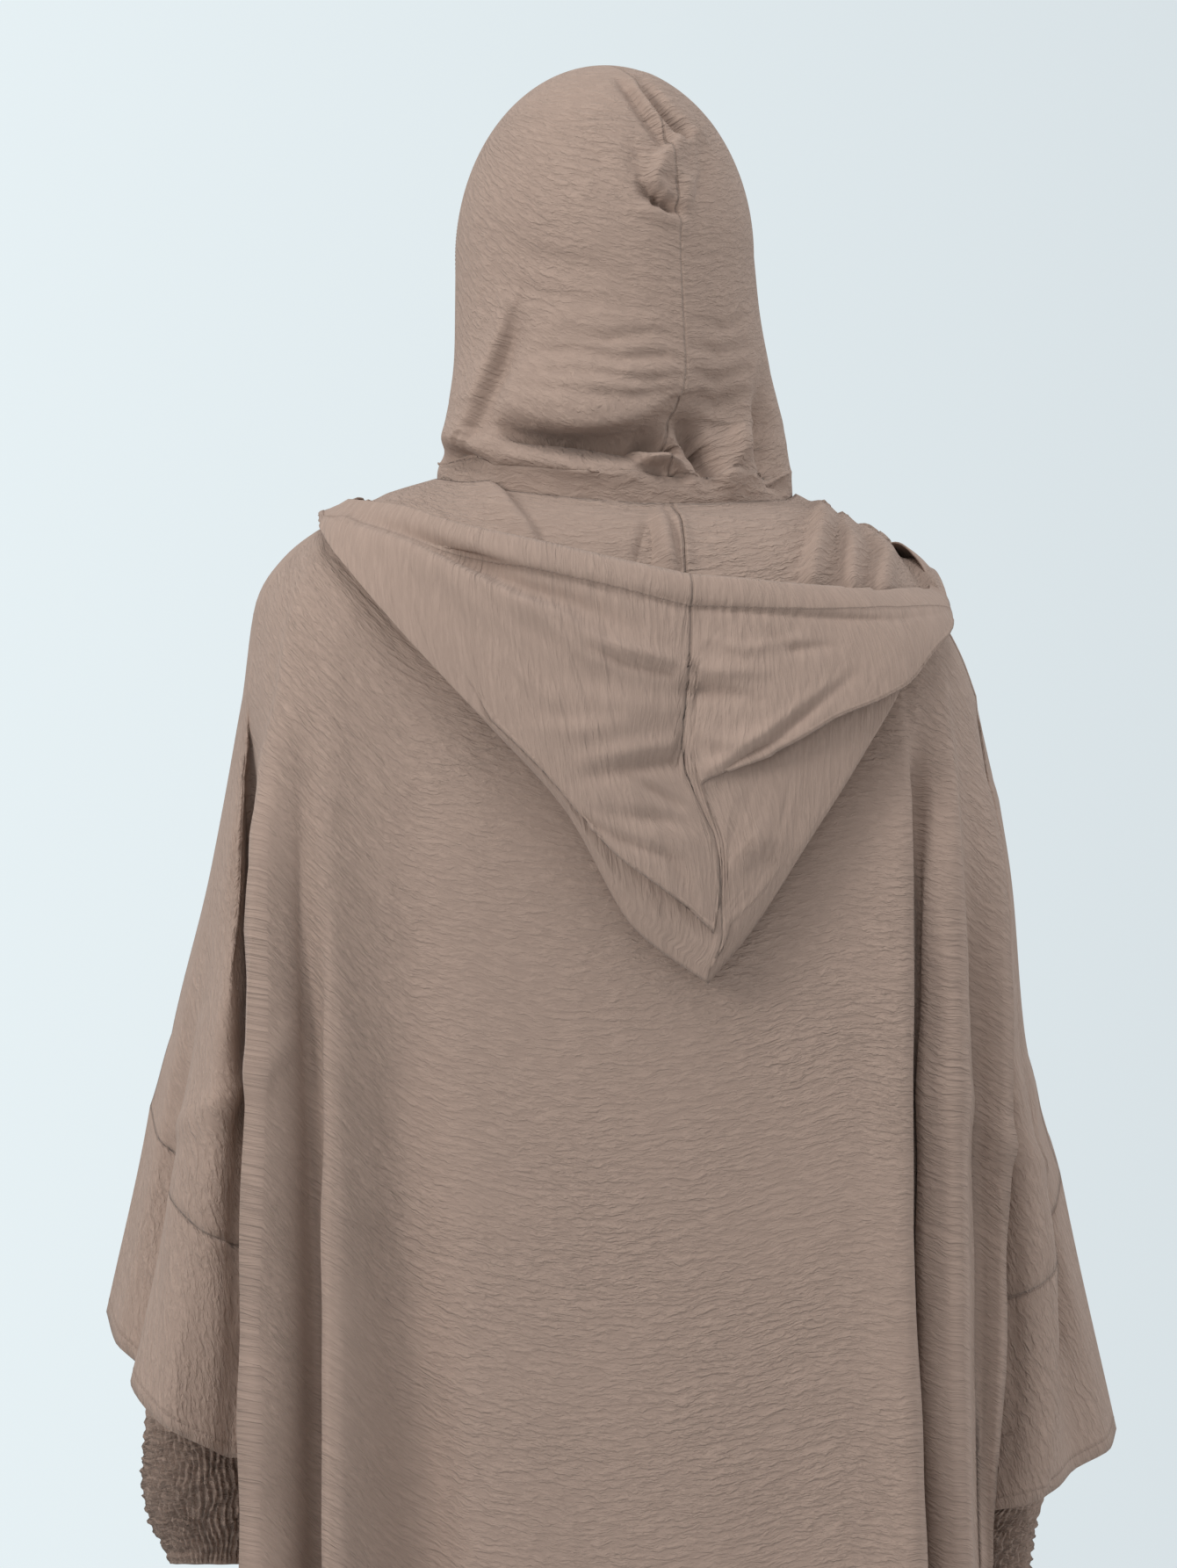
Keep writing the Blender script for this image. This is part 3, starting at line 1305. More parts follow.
@dataclass
class OuterHood:
    """The large outer hood, which hangs open down the back from the neck seam.

    Each half goes down from the neck as its far layer, round a fold, and up again as its near layer to
    the rim. Part of the near layer is folded over itself: its rows go up under, turn and go on over.
    """

    columns: int = 150
    far_rows: int = 44
    near_rows: int = 84
    neck_out: float = 1.2
    bulge: float = 10.0
    bulge_share: float = 0.12
    fold_depth: float = 9.0
    fold_round: float = 14.0
    full_fold_length: float = 45.0
    under_rows: int = 16
    turn_rows: int = 7
    full_lift: float = 1.4
    tuck: float = 11.0
    casing: float = 20.0
    casing_puff: float = 3.4
    casing_round: float = 0.7
    casing_start: float = 0.25
    casing_length: float = 90.0
    groove_depth: float = 1.3
    groove_width: float = 2.6
    station_step: float = 46.0
    pucker: float = 0.55
    pucker_pitch: float = 8.5
    pucker_reach: float = 7.0
    pucker_drift: tuple[float, float] = (17.0, 23.0)
    pucker_mean: float = 0.55
    pucker_swing: float = 0.45
    seam_top: tuple[float, float] = (45.0, -28.0)
    seam_bottom: tuple[float, float] = (55.0, -270.0)
    sway_reach: float = 42.0
    sway: tuple[tuple[float, float], ...] = (
        (-28, 0), (-60, -3), (-100, -9), (-134, -14), (-150, -11), (-170, -3), (-188, 4), (-212, 6),
        (-240, 6), (-262, 1), (-275, 0))
    still_rows: int = 4
    gap: float = 2.2
    near_gap: float = 8.3
    clearing_rounds: int = 3
    half_origin: float = 500.0
    form: ClothForm = field(default_factory=ClothForm)

    def half(self, stations: Sequence[HoodStation], body: BVHTree) -> Grid:
        """Half of the hood as a grid, from the neck seam round the fold to the rim.

        Args:
            stations: The half's stations, from the middle seam.
            body: The body's surface, which the near layer stays clear of.

        Returns:
            Points by row and column from the middle seam.
        """
        marks = np.linspace(0.0, len(stations) - 1.0, self.columns + 1)
        table = [[spot.turn, spot.ridge, spot.lift, *spot.rim, *spot.fold] for spot in stations]
        values = SoftTable(range(len(stations)), table).at(marks)
        turn, ridge, lift = values[:, :3].T
        rim, fold = values[:, 3:6], values[:, 6:]
        neck = neck_points(turn, 0.0, self.neck_out)
        length = np.linalg.norm(fold - rim, axis=1)
        angle = np.radians(turn)
        outward = np.stack([np.sin(angle), -np.cos(angle), np.zeros(len(turn))], axis=1)
        rows = [neck + (fold - neck) * i / self.far_rows for i in range(self.far_rows + 1)]
        for share, over in self.near_steps(ridge, lift, length):
            puff = np.minimum(self.bulge, length * self.bulge_share) * np.sin(pi * share)
            depth = self.fold_depth * np.minimum(1.0, length / self.full_fold_length) * (1 - share)
            casing = self.casing_out((1 - share) * length, marks)
            casing *= np.clip(length / self.casing_length - self.casing_start, 0.0, 1.0)
            out = puff + depth * np.minimum(1.0, share * self.fold_round) + casing
            row = fold + (rim - fold) * share[:, None] + outward * out[:, None]
            row = self.clear_of(body, row, self.near_gap)
            rows.append(row + outward * (lift * over * np.sqrt(np.maximum(0.0, 1.0 - share)))[:, None])
        return np.array(rows)

    def casing_out(self, down: Grid, marks: Grid) -> Grid:
        """How far the rim's turned casing stands out: round, pulled in at its stitches and puckered there.

        Args:
            down: Distance from the rim, for each column.
            marks: Place along the rim, counted in stations.

        Returns:
            The distance that the cloth stands out, for each column.
        """
        share = np.clip(down / self.casing, 0.0, 1.0)
        along = marks * self.station_step
        quick, slow = self.pucker_drift
        wave = np.sin(2 * pi * along / self.pucker_pitch + 2.0 * np.sin(along / quick))
        strength = self.pucker_mean + self.pucker_swing * np.sin(along / slow)
        near_stitch = np.exp(-((down - self.casing) / self.pucker_reach) ** 2) * strength
        groove = -self.groove_depth * np.exp(-((down - self.casing) / self.groove_width) ** 2)
        roll = self.casing_puff * np.sin(pi * share) ** self.casing_round
        return roll + groove + self.pucker * wave * near_stitch

    def near_steps(self, ridge: Grid, lift: Grid, length: Grid) -> list[tuple[Grid, Grid]]:
        """How the near layer goes up: over the under layer, back down beneath its own fold and up again.

        Args:
            ridge: How far up the fold of the near layer hangs, for each column.
            lift: How far it stands off, for each column.
            length: The near layer's length, for each column.

        Returns:
            For each row, the share of the way up and the share of the lift.
        """
        folded = np.minimum(lift / self.full_lift, 1.0)
        turned_rows = self.under_rows + self.turn_rows
        under = folded * (ridge + self.tuck / length) + (1 - folded) * (self.under_rows / self.near_rows)
        edge = folded * ridge + (1 - folded) * (turned_rows / self.near_rows)
        steps = []
        for i in range(1, self.under_rows + 1):
            steps.append((under * i / self.under_rows, np.zeros(len(ridge))))
        for i in range(1, self.turn_rows + 1):
            t = i / self.turn_rows
            steps.append((under + (edge - under) * t, np.full(len(ridge), t * t * (3 - 2 * t))))
        upper = self.near_rows - turned_rows
        for i in range(1, upper + 1):
            steps.append((edge + (1 - edge) * i / upper, np.ones(len(ridge))))
        return steps

    def seam_sway(self, points: Grid) -> Grid:
        """Points of the near layer, moved sideways to where the middle seam wanders.

        Args:
            points: The points.

        Returns:
            The points, moved.
        """
        table = np.array(self.sway)
        sway = SoftTable(-table[:, 0], table[:, 1]).at(-points[:, 2])[:, 0]
        (top_x, top_z), (bottom_x, bottom_z) = self.seam_top, self.seam_bottom
        line = top_x + (points[:, 2] - top_z) / (bottom_z - top_z) * (bottom_x - top_x)
        near = np.exp(-((points[:, 0] - line) / self.sway_reach) ** 2)
        moved = points.copy()
        moved[:, 0] += sway * near
        return moved

    def lay_out(self, body: BVHTree) -> None:
        """Lay both halves out and rest them on the body.

        Args:
            body: The body's surface.
        """
        for number, stations in enumerate((LEFT_STATIONS, RIGHT_STATIONS)):
            grid = self.half(stations, body)
            for row in range(self.far_rows + self.still_rows, len(grid)):
                grid[row] = self.seam_sway(grid[row])
            grid = grid[:, ::-1] if number == 1 else grid
            self.form.lay(grid, lambda row, column, number=number: number, (self.half_origin * number, 0.0),
                          turned=self.far_rows)
        self.form.join()
        for _ in range(self.clearing_rounds):
            self.form.move(self.clear_of(body, self.form.points(), self.gap))

    def clear_of(self, body: BVHTree, points: Grid, gap: float) -> Grid:
        """Move points out of the body's cloth to a gap outside it.

        Args:
            body: The body's surface.
            points: The points in millimetres.
            gap: The least gap in millimetres.

        Returns:
            The points, moved.
        """
        moved = points.copy()
        for i, point in enumerate(points):
            spot = Vector(point) * MM
            nearest, normal, _, _ = body.find_nearest(spot)
            depth = (spot - nearest).dot(normal) / MM
            if depth < gap:
                moved[i] = point + np.array(normal) * (gap - depth)
        return moved


@dataclass(frozen=True)
class CuffRing:
    """A ring of a cuff: its height, centre and half sizes, and how deep its puckers are."""

    z: float
    centre: tuple[float, float]
    half: tuple[float, float]
    pucker: float


LEFT_RINGS = (
    CuffRing(-520, (-248, -24), (30, 36), 0.0), CuffRing(-545, (-240, -16), (39, 40), 1.3),
    CuffRing(-566, (-237, -12), (43, 42), 1.5), CuffRing(-588, (-237, -8), (39, 38), 1.5),
    CuffRing(-606, (-236, -5), (31, 30), 1.1), CuffRing(-615, (-236, -4), (28, 27), 0.0),
)
RIGHT_RINGS = (
    CuffRing(-574, (233, -24), (22, 34), 0.0), CuffRing(-598, (211, -16), (37, 41), 1.3),
    CuffRing(-616, (207, -12), (39, 42), 1.5), CuffRing(-636, (206, -8), (37, 38), 1.5),
    CuffRing(-653, (206, -5), (31, 30), 1.1), CuffRing(-662, (206, -4), (28, 27), 0.0),
)


@dataclass
class SmockedCuff:
    """An inner cuff, sewn inside its sleeve and drawn in by rows of elastic shirring."""

    arm: Arm
    rings: tuple[CuffRing, ...]
    columns: int = 252
    rows: int = 84
    lead_share: float = 0.2
    sewn_share: float = 2.0 / 3.0
    inside: float = 2.6
    puckers: int = 62
    pucker_depth: float = 2.6
    full_pucker: float = 1.3
    least_pucker: float = 0.12
    second_step: float = 1.63
    first_share: float = 0.62
    second_share: float = 0.38
    shirring: int = 13
    gather_mean: float = 0.62
    gather_swing: float = 0.38
    between_rows: float = 1.1
    row_flattens: float = 0.4
    row_sinks: float = 0.5
    ripple: float = 0.9
    ripples: int = 11
    ripple_drift: float = 2.1
    form: ClothForm = field(default_factory=ClothForm)

    def sleeve_ring(self, body: BodyCloth) -> Grid:
        """The sleeve's ring where the cuff is sewn in."""
        back, front = body.arm_side(self.arm, False), body.arm_side(self.arm, True)
        row = len(back) - 1 - round(body.sleeve_rows / 2 * (1 - self.sewn_share))
        return np.concatenate([back[row], front[row][-2:0:-1]])

    def top_ring(self, body: BodyCloth, angles: Grid) -> Grid:
        """Where the cuff's top edge meets the inside of the sleeve.

        Args:
            body: The body, with the sleeve.
            angles: Angles round the first ring's centre.

        Returns:
            One point an angle.
        """
        ring = self.sleeve_ring(body)
        centre = np.array(self.rings[0].centre)
        flat = ring[:, :2] - centre
        around = np.arctan2(flat[:, 1], flat[:, 0])
        order = np.argsort(around)
        around, reach, z = around[order], np.linalg.norm(flat, axis=1)[order], ring[order, 2]
        wrapped = (angles + pi) % (2 * pi) - pi
        near = np.interp(wrapped, around, reach, period=2 * pi) - self.inside
        height = np.interp(wrapped, around, z, period=2 * pi)
        x, y = centre[0] + near * np.cos(angles), centre[1] + near * np.sin(angles)
        return np.column_stack([x, y, height])

    def smocking(self, angles: Grid, line: float) -> Grid:
        """The smocking's relief: two uneven sets of puckers, pulled in along each row of elastic.

        The factors below have no common measure, so that no two puckers look alike.

        Args:
            angles: Angles round the cuff.
            line: Place down the cuff, counted in rows of elastic.

        Returns:
            One height an angle, about 1 at the outer points.
        """
        drift = 1.3 * np.sin(angles * 3 + line * 0.7) + 0.8 * np.sin(angles * 7 - line * 1.3)
        wave = np.sin(angles * self.puckers + drift + 1.9 * np.sin(line * 1.7 + angles * 5))
        second = np.sin(angles * (self.puckers * self.second_step) - drift * 1.4 + 2.2 * sin(line * 2.3))
        gather = self.gather_mean + self.gather_swing * cos(2 * pi * line)
        both = self.first_share * wave + self.second_share * second
        return both * (self.between_rows - self.row_flattens * gather) - self.row_sinks * gather

    def lay_out(self, body: BodyCloth) -> None:
        """Lay the puckered tube out.

        Args:
            body: The body, with the sleeve.
        """
        angles = pi + 2 * pi * np.arange(self.columns + 1) / self.columns
        top = self.top_ring(body, angles)
        table = SoftTable([-ring.z for ring in self.rings],
                          [[*ring.centre, *ring.half, ring.pucker] for ring in self.rings])
        away = np.column_stack([np.cos(angles), np.sin(angles), np.zeros(len(angles))])
        rows = []
        first, last = self.rings[0].z, self.rings[-1].z
        lead = int(self.rows * self.lead_share)
        for i in range(self.rows + 1):
            share = max(0.0, (i - lead) / (self.rows - lead))
            z = first + (last - first) * share
            cx, cy, hx, hy, pucker = table.at(-z)[0]
            x, y = cx + hx * np.cos(angles), cy + hy * np.sin(angles)
            ring = np.column_stack([x, y, np.full(len(angles), z)])
            if i < lead:
                ring = top + (ring - top) * (i / lead)
            strength = min(1.0, pucker / self.full_pucker) + self.least_pucker
            line = share * self.shirring
            ring = ring + away * (self.pucker_depth * strength * self.smocking(angles, line))[:, None]
            ripple = np.sin(angles * self.ripples + line * self.ripple_drift)
            ring[:, 2] += strength * self.ripple * ripple
            ring[-1] = ring[0]
            rows.append(ring)
        self.form.lay(np.array(rows), lambda row, column: 0, (0.0, 0.0))
        self.form.join()


HEAD_CREASES = (
    Crease(((-74, 60, -2), (-56, 57, -18), (-24, 55, -37), (8, 53, -38), (22, 54, -18)), 5.5, 9),
    Crease(((-76, 74, 1), (-46, 72, 8), (-16, 73, 13), (10, 74, 13), (26, 77, 6)), 22, 6),
    Crease(((-84, 60, 0.5), (-60, 44, 3), (-20, 36, 4), (12, 36, 3)), 5, 5),
    Crease(((8, 53, 2), (15, 46, 9), (20, 42, 10), (29, 42, 10), (38, 38, 5)), 2.8, 2.2),
    Crease(((16, 38, -4), (28, 36, -9), (42, 33, -5)), 2.6, 3.4),
    Crease(((38, 64, -5), (45, 57, -18), (52, 47, -22), (58, 36, -10)), 4, 6),
    Crease(((56, 66, 3), (70, 58, 8), (73, 44, 7), (68, 32, 3)), 8, 6),
    Crease(((15, 60, -5), (24, 52, -14), (34, 49, -13), (42, 43, -5)), 3.4, 3),
    Crease(((-106, 43, -6), (-94, 41, -15), (-80, 37, -6)), 6, 6),
    Crease(((-100, 52, 3), (-84, 48, 4), (-70, 41, 2)), 8, 5),
    Crease(((87, 88, -2), (87, 66, -9), (90, 46, -13), (96, 30, -7)), 7, 6),
    Crease(((84, 86, 1), (78, 64, 4), (74, 46, 3)), 4, 9),
    Crease(((-60, 130, -2), (-65, 112, -7), (-72, 92, -8), (-85, 60, -4)), 11, 2.0),
    Crease(((-64, 130, 1), (-70, 108, 3.4), (-77, 88, 4), (-90, 58, 3)), 2.6, 9),
    Crease(((-30, 116, -0.8), (-5, 112, -2.6), (22, 116, -2.2), (38, 112, -0.8)), 2.6, 3.6),
    Crease(((-50, 104, -0.8), (-24, 106, -2.4), (2, 100, -2.8), (30, 102, -2.6), (40, 98, -1)), 2.6, 4),
    Crease(((-44, 92, -0.8), (-12, 92, -2.6), (16, 88, -3.6), (36, 90, -1.6)), 2.8, 4),
    Crease(((-56, 83, -0.8), (-22, 82, -2.8), (10, 80, -4), (34, 82, -1.2)), 3, 4.4),
    Crease(((48, 108, -1), (62, 104, -3), (76, 108, -1.2)), 2.6, 4),
    Crease(((46, 92, -1.2), (60, 88, -3.6), (78, 94, -1.2)), 2.8, 4),
    Crease(((46, 78, -1.6), (60, 74, -4.8), (76, 80, -1.6)), 3, 5),
    Crease(((50, 122, -0.8), (64, 119, -2.2), (78, 124, -0.8)), 2.6, 3.6),
    Crease(((-34, 238, -0.8), (-12, 218, -2.4), (4, 196, -1.6), (12, 170, -0.8)), 9, 14),
    Crease(((-74, 176, -0.8), (-46, 160, -2.2), (-12, 152, -2), (24, 140, -1)), 7, 11),
    Crease(((-70, 150, -0.6), (-40, 138, -2), (-4, 134, -1.8), (30, 128, -0.8)), 5, 8),
)
CROWN_CREASES = (
    Crease(((0, 268, -0.6), (8, 260, -4.5), (19, 243, -5.5), (29, 228, -3)), 2.4, 3.4, uneven=0.1),
    Crease(((14, 264, -1), (19, 258, -5), (30, 243, -7), (41, 231, -6)), 2.6, 2.4, uneven=0.1),
    Crease(((10, 268, 0.5), (14, 258, 3.4), (25, 242, 4), (35, 231, 3)), 2.6, 2.6, uneven=0.1),
    Crease(((20, 266, 1), (30, 252, 3.2), (42, 240, 3.4), (50, 232, 1.5)), 6, 3, uneven=0.1),
    Crease(((44, 233, 4), (36, 227, 7), (28, 219, 8.5), (23, 208, 8), (25, 202, 4)), 8, 3.4, uneven=0.0),
    Crease(((36, 212, 2), (41, 204, 5), (42, 194, 4), (42, 184, 1)), 6, 4, uneven=0.1),
    Crease(((16, 206, -2), (18, 200, -8), (25, 195, -13), (34, 190, -10), (39, 188, -4)), 3.8, 3.6,
           uneven=0.1),
    Crease(((22, 204, 1), (29, 199, 3), (37, 194, 2)), 2.4, 2.4, uneven=0.0),
    Crease(((20, 192, 1), (22, 197, 3), (24, 201, 2)), 2.0, 2.0, uneven=0.0),
    Crease(((27, 188, 1), (28, 193, 3), (30, 197, 2)), 2.0, 2.0, uneven=0.0),
    Crease(((12, 190, 1), (22, 187, 3.6), (34, 183, 3.4), (40, 178, 1.5)), 3.6, 4.5, uneven=0.1),
    Crease(((50, 228, -1), (53, 212, -3.4), (50, 198, -2.6), (45, 184, -0.8)), 5, 3, uneven=0.1),
    Crease(((10, 232, -0.5), (14, 220, -2.4), (16, 208, -1.5)), 3, 6, uneven=0.1),
)
LINING_CREASES = (
    Crease(((22, 12, -2), (20, -6, -6), (18, -22, -7)), 5, 9, Facing.LINING),
    Crease(((25, 20, 1), (29, 2, 6), (34, -22, 7)), 1.8, 6, Facing.LINING),
    Crease(((36, 18, 1), (39, 2, 3), (42, -22, 3)), 5, 2.4, Facing.LINING),
    Crease(((18, 8, 0.5), (12, -6, 2.4), (7, -18, 2)), 4, 2.2, Facing.LINING),
    Crease(((-82, 30, 3), (-66, 17, 6), (-50, -4, 5)), 2.0, 13, Facing.LINING),
    Crease(((-132, 18, 3), (-104, 30, 5), (-92, 34, 3)), 8, 9, Facing.LINING),
    Crease(((120, 14, 5), (119, 0, 10), (113, -34, 9)), 9, 2.2, Facing.LINING),
    Crease(((134, 2, 4), (137, -14, 9), (137, -36, 9)), 8, 2.0, Facing.LINING),
    Crease(((146, 0, 4), (156, -18, 10), (154, -38, 9)), 9, 2.0, Facing.LINING),
    Crease(((166, -12, 4), (179, -26, 9), (185, -38, 8)), 9, 2.2, Facing.LINING),
)
OUTER_CREASES = (
    Crease(((-52, -46, 1), (-34, -62, 3), (-15, -78, 3), (0, -84, 1)), 2.6, 5),
    Crease(((-16, -72, -1), (6, -80, -3.6), (33, -86, -3)), 2, 3.4),
    Crease(((-14, -66, 1), (8, -74, 2.6), (32, -80, 2)), 3, 2),
    Crease(((-24, -170, -1), (4, -184, -3.4), (26, -192, -3), (43, -198, -0.5)), 2.2, 3.6),
    Crease(((8, -146, -1), (22, -154, -3.2), (38, -164, -2)), 2.2, 3),
    Crease(((66, -168, 0.5), (76, -175, 2.6), (90, -182, 1)), 2.4, 4),
    Crease(((67, -178, -0.5), (78, -187, -2.6), (94, -196, -1)), 2.2, 3.4),
    Crease(((-70, -70, 0.6), (-52, -88, 2.6), (-34, -104, 2)), 3, 5),
    Crease(((88, -60, -0.6), (104, -72, -2.6), (126, -70, -1)), 2.4, 4),
    Crease(((52, -66, 0.6), (78, -72, 2.4), (110, -66, 1)), 3, 4),
    Crease(((-160, 2, 3), (-122, -12, 6), (-86, -30, 9), (-56, -45, 9), (-33, -53, 7.5), (-9, -70, 6),
            (35, -79, 3)), 5, 13),
    Crease(((-150, 4, -3), (-118, -6, -6), (-84, -21, -7.5), (-54, -36, -6), (-30, -43, -4.5),
            (10, -60, -1.5)), 7, 5),
    Crease(((-104, -26, 1.5), (-84, -46, 3.8), (-58, -66, 3), (-30, -78, 1.5)), 6, 11),
    Crease(((-20, -147, -1.5), (4, -142, -5.1), (34, -137, -4.5)), 3.4, 6),
    Crease(((-18, -138, 1.2), (6, -133, 3.3), (32, -129, 3)), 5, 4),
    Crease(((-8, -168, -1.5), (20, -171, -3.9), (46, -175, -0.8)), 3.2, 6),
    Crease(((40, -94, -2.2), (56, -96, -5.1), (80, -100, -1.5)), 3, 7),
    Crease(((40, -84, 1.5), (60, -86, 3.8), (88, -86, 1.5)), 6, 4),
    Crease(((-30, -96, 1.2), (0, -104, 3.3), (32, -108, 2.4)), 6, 9),
    Crease(((28, -184, -1), (38, -202, -3), (46, -222, -1)), 3.4, 5),
    Crease(((62, -178, 1.2), (78, -190, 3.3), (96, -186, 1.5)), 4, 6),
    Crease(((66, -206, 0.9), (76, -196, 3), (88, -176, 1.5)), 4, 5),
    Crease(((-46, -118, 0.9), (-20, -120, 3.3), (8, -116, 1.5)), 5, 7),
    Crease(((46, -120, 0.9), (66, -128, 3.6), (90, -124, 1.5)), 6, 5),
    Crease(((48, -146, 1.2), (64, -140, 3.9), (96, -118, 3), (130, -92, 1.5)), 5, 6),
    Crease(((58, -150, -1.5), (82, -134, -4.5), (112, -110, -4.5), (140, -88, -1.5)), 4, 4),
)
BODY_CREASES = (
    Crease(((-194, -180, 1), (-196, -300, 6), (-198, -616, 7), (-202, -900, 7),
            (-208, -1340, 7)), 13, 15),
    Crease(((-222, -250, 1), (-226, -320, 7), (-230, -400, 8), (-232, -480, 7), (-230, -540, 4)), 7, 9),
    Crease(((-185, -35, 2), (-191, -66, 4), (-195, -102, 6), (-204, -144, 8), (-208, -205, 9),
            (-213, -302, 10),
            (-216, -395, 10), (-217, -616, 9), (-222, -900, 9), (-230, -1340, 9)), 24, 5),
    Crease(((-214, -130, -2), (-219, -160, -5), (-221, -286, -6), (-225, -400, -7), (-229, -620, -6),
            (-240, -1340, -5)), 5, 7),
    Crease(((-168, -208, 0), (-168, -291, 5), (-168, -400, 7), (-167, -616, 8), (-170, -900, 9),
            (-176, -1340, 11)), 24, 2.6),
    Crease(((-175, -230, -1), (-175, -300, -4), (-175, -400, -5), (-174, -616, -6), (-177, -900, -6),
            (-184, -1340, -8)), 3, 8),
    Crease(((-136, -156, 1), (-136, -300, 3), (-140, -400, 2)), 13, 13),
    Crease(((-127, -340, -1), (-122, -440, -4), (-117, -520, -6), (-109, -616, -8), (-100, -900, -10),
            (-95, -1340, -10)), 20, 18),
    Crease(((-60, -420, 0.5), (-56, -616, 2.5), (-50, -900, 6), (-44, -1340, 8)), 26, 24),
    Crease(((-8, -640, -0.5), (-4, -900, -5), (0, -1340, -8)), 24, 24),
    Crease(((48, -600, 0.5), (46, -900, 6), (40, -1340, 9)), 25, 22),
    Crease(((96, -560, -0.5), (98, -900, -6), (104, -1340, -9)), 20, 24),
    Crease(((167, -90, 1), (172, -158, 4), (173, -208, 4), (172, -415, 5), (178, -616, 7), (182, -900, 8),
            (190, -1340, 8)), 2.8, 18),
    Crease(((177, -130, -1), (179, -160, -6), (178, -208, -2), (177, -415, -1), (184, -616, -1),
            (189, -900, -11), (197, -1340, -10)), 5, 3),
    Crease(((185, -150, 2), (186, -208, 10), (186, -415, 13), (192, -616, 13), (197, -900, 11),
            (204, -1340, 9)), 14, 5.5),
    Crease(((194, -90, 1), (199, -148, 3), (202, -218, 3), (205, -291, 4), (208, -415, 4),
            (215, -616, 4)), 2.6, 6),
    Crease(((205, -148, -1), (208, -218, -3), (211, -291, -5), (214, -415, -6), (221, -616, -6),
            (228, -900, -9), (236, -1340, -8)), 7, 3),
    Crease(((225, -158, 2), (231, -228, 4), (233, -415, 5), (231, -457, 5), (226, -540, 5),
            (224, -616, 5)), 3, 8),
    Crease(((-243, -290, 2), (-252, -357, 6), (-258, -399, 7), (-263, -437, 4), (-266, -475, 2),
            (-264, -530, 1)), 12, 4),
    Crease(((-250, -290, -2), (-259, -357, -6), (-265, -399, -7), (-270, -437, -2),
            (-273, -475, 0)), 3, 6),
    Crease(((246, -330, 3), (249, -395, 9), (252, -432, 10), (255, -480, 10), (255, -560, 8)), 2.4, 12),
    Crease(((253, -330, -2), (256, -395, -6), (260, -432, -7), (263, -480, -7)), 6, 3),
    Crease(((228, -380, -2), (232, -430, -5), (236, -500, -6), (232, -560, -4)), 8, 6),
    Crease(((-196, -300, 1), (-220, -330, 4), (-246, -352, 4), (-262, -360, 2)), 8, 8),
    Crease(((200, -330, 1), (226, -362, 4), (250, -380, 4)), 8, 8),
)
FRONT_CREASES = (
    Crease(((-168, -190, 0), (-176, -330, 7), (-180, -620, 9), (-188, -1340, 10)), 4, 18, Facing.FRONT),
    Crease(((-150, -220, -1), (-156, -400, -8), (-158, -700, -10),
            (-164, -1340, -10)), 12, 6, Facing.FRONT),
    Crease(((-96, -260, 0), (-102, -460, 5), (-106, -800, 8), (-110, -1340, 9)), 16, 20, Facing.FRONT),
    Crease(((-44, -330, 0), (-46, -600, -5), (-50, -900, -8), (-54, -1340, -9)), 20, 16, Facing.FRONT),
    Crease(((6, -380, 0), (8, -640, 4), (10, -900, 7), (12, -1340, 9)), 22, 22, Facing.FRONT),
    Crease(((66, -300, 0), (70, -560, -5), (72, -900, -8), (76, -1340, -9)), 18, 18, Facing.FRONT),
    Crease(((118, -240, 0), (124, -440, 6), (128, -800, 9), (132, -1340, 10)), 18, 12, Facing.FRONT),
    Crease(((164, -200, -1), (170, -380, -8), (174, -700, -10), (180, -1340, -10)), 8, 10, Facing.FRONT),
    Crease(((186, -170, 1), (192, -330, 7), (196, -620, 8), (204, -1340, 9)), 10, 5, Facing.FRONT),
    Crease(((-214, -150, -2), (-220, -300, -9), (-224, -460, -8), (-234, -1340, -5)), 6, 6, Facing.FRONT),
    Crease(((-246, -300, 2), (-255, -370, 6), (-262, -440, 7), (-268, -500, 6)), 4, 12, Facing.FRONT),
    Crease(((248, -320, 2), (251, -400, 6), (256, -470, 7), (258, -550, 6)), 12, 4, Facing.FRONT),
    Crease(((-120, -60, 1), (-84, -96, 4), (-44, -118, 3), (0, -124, 1)), 8, 12, Facing.FRONT),
    Crease(((118, -64, 1), (86, -100, 4), (52, -126, 3), (16, -134, 1)), 12, 8, Facing.FRONT),
    Crease(((-190, -80, 2), (-176, -160, 5), (-172, -240, 4)), 10, 6, Facing.FRONT),
    Crease(((196, -90, 2), (186, -170, 5), (184, -250, 4)), 6, 10, Facing.FRONT),
)


@dataclass(frozen=True)
class Lamp:
    """A soft round lamp: its angles round the garment and above level, width, power and colour.

    The turn is counted from behind the camera, positive to the right.
    """

    name: str
    turn: float
    climb: float
    size: float
    power: float
    colour: Colour


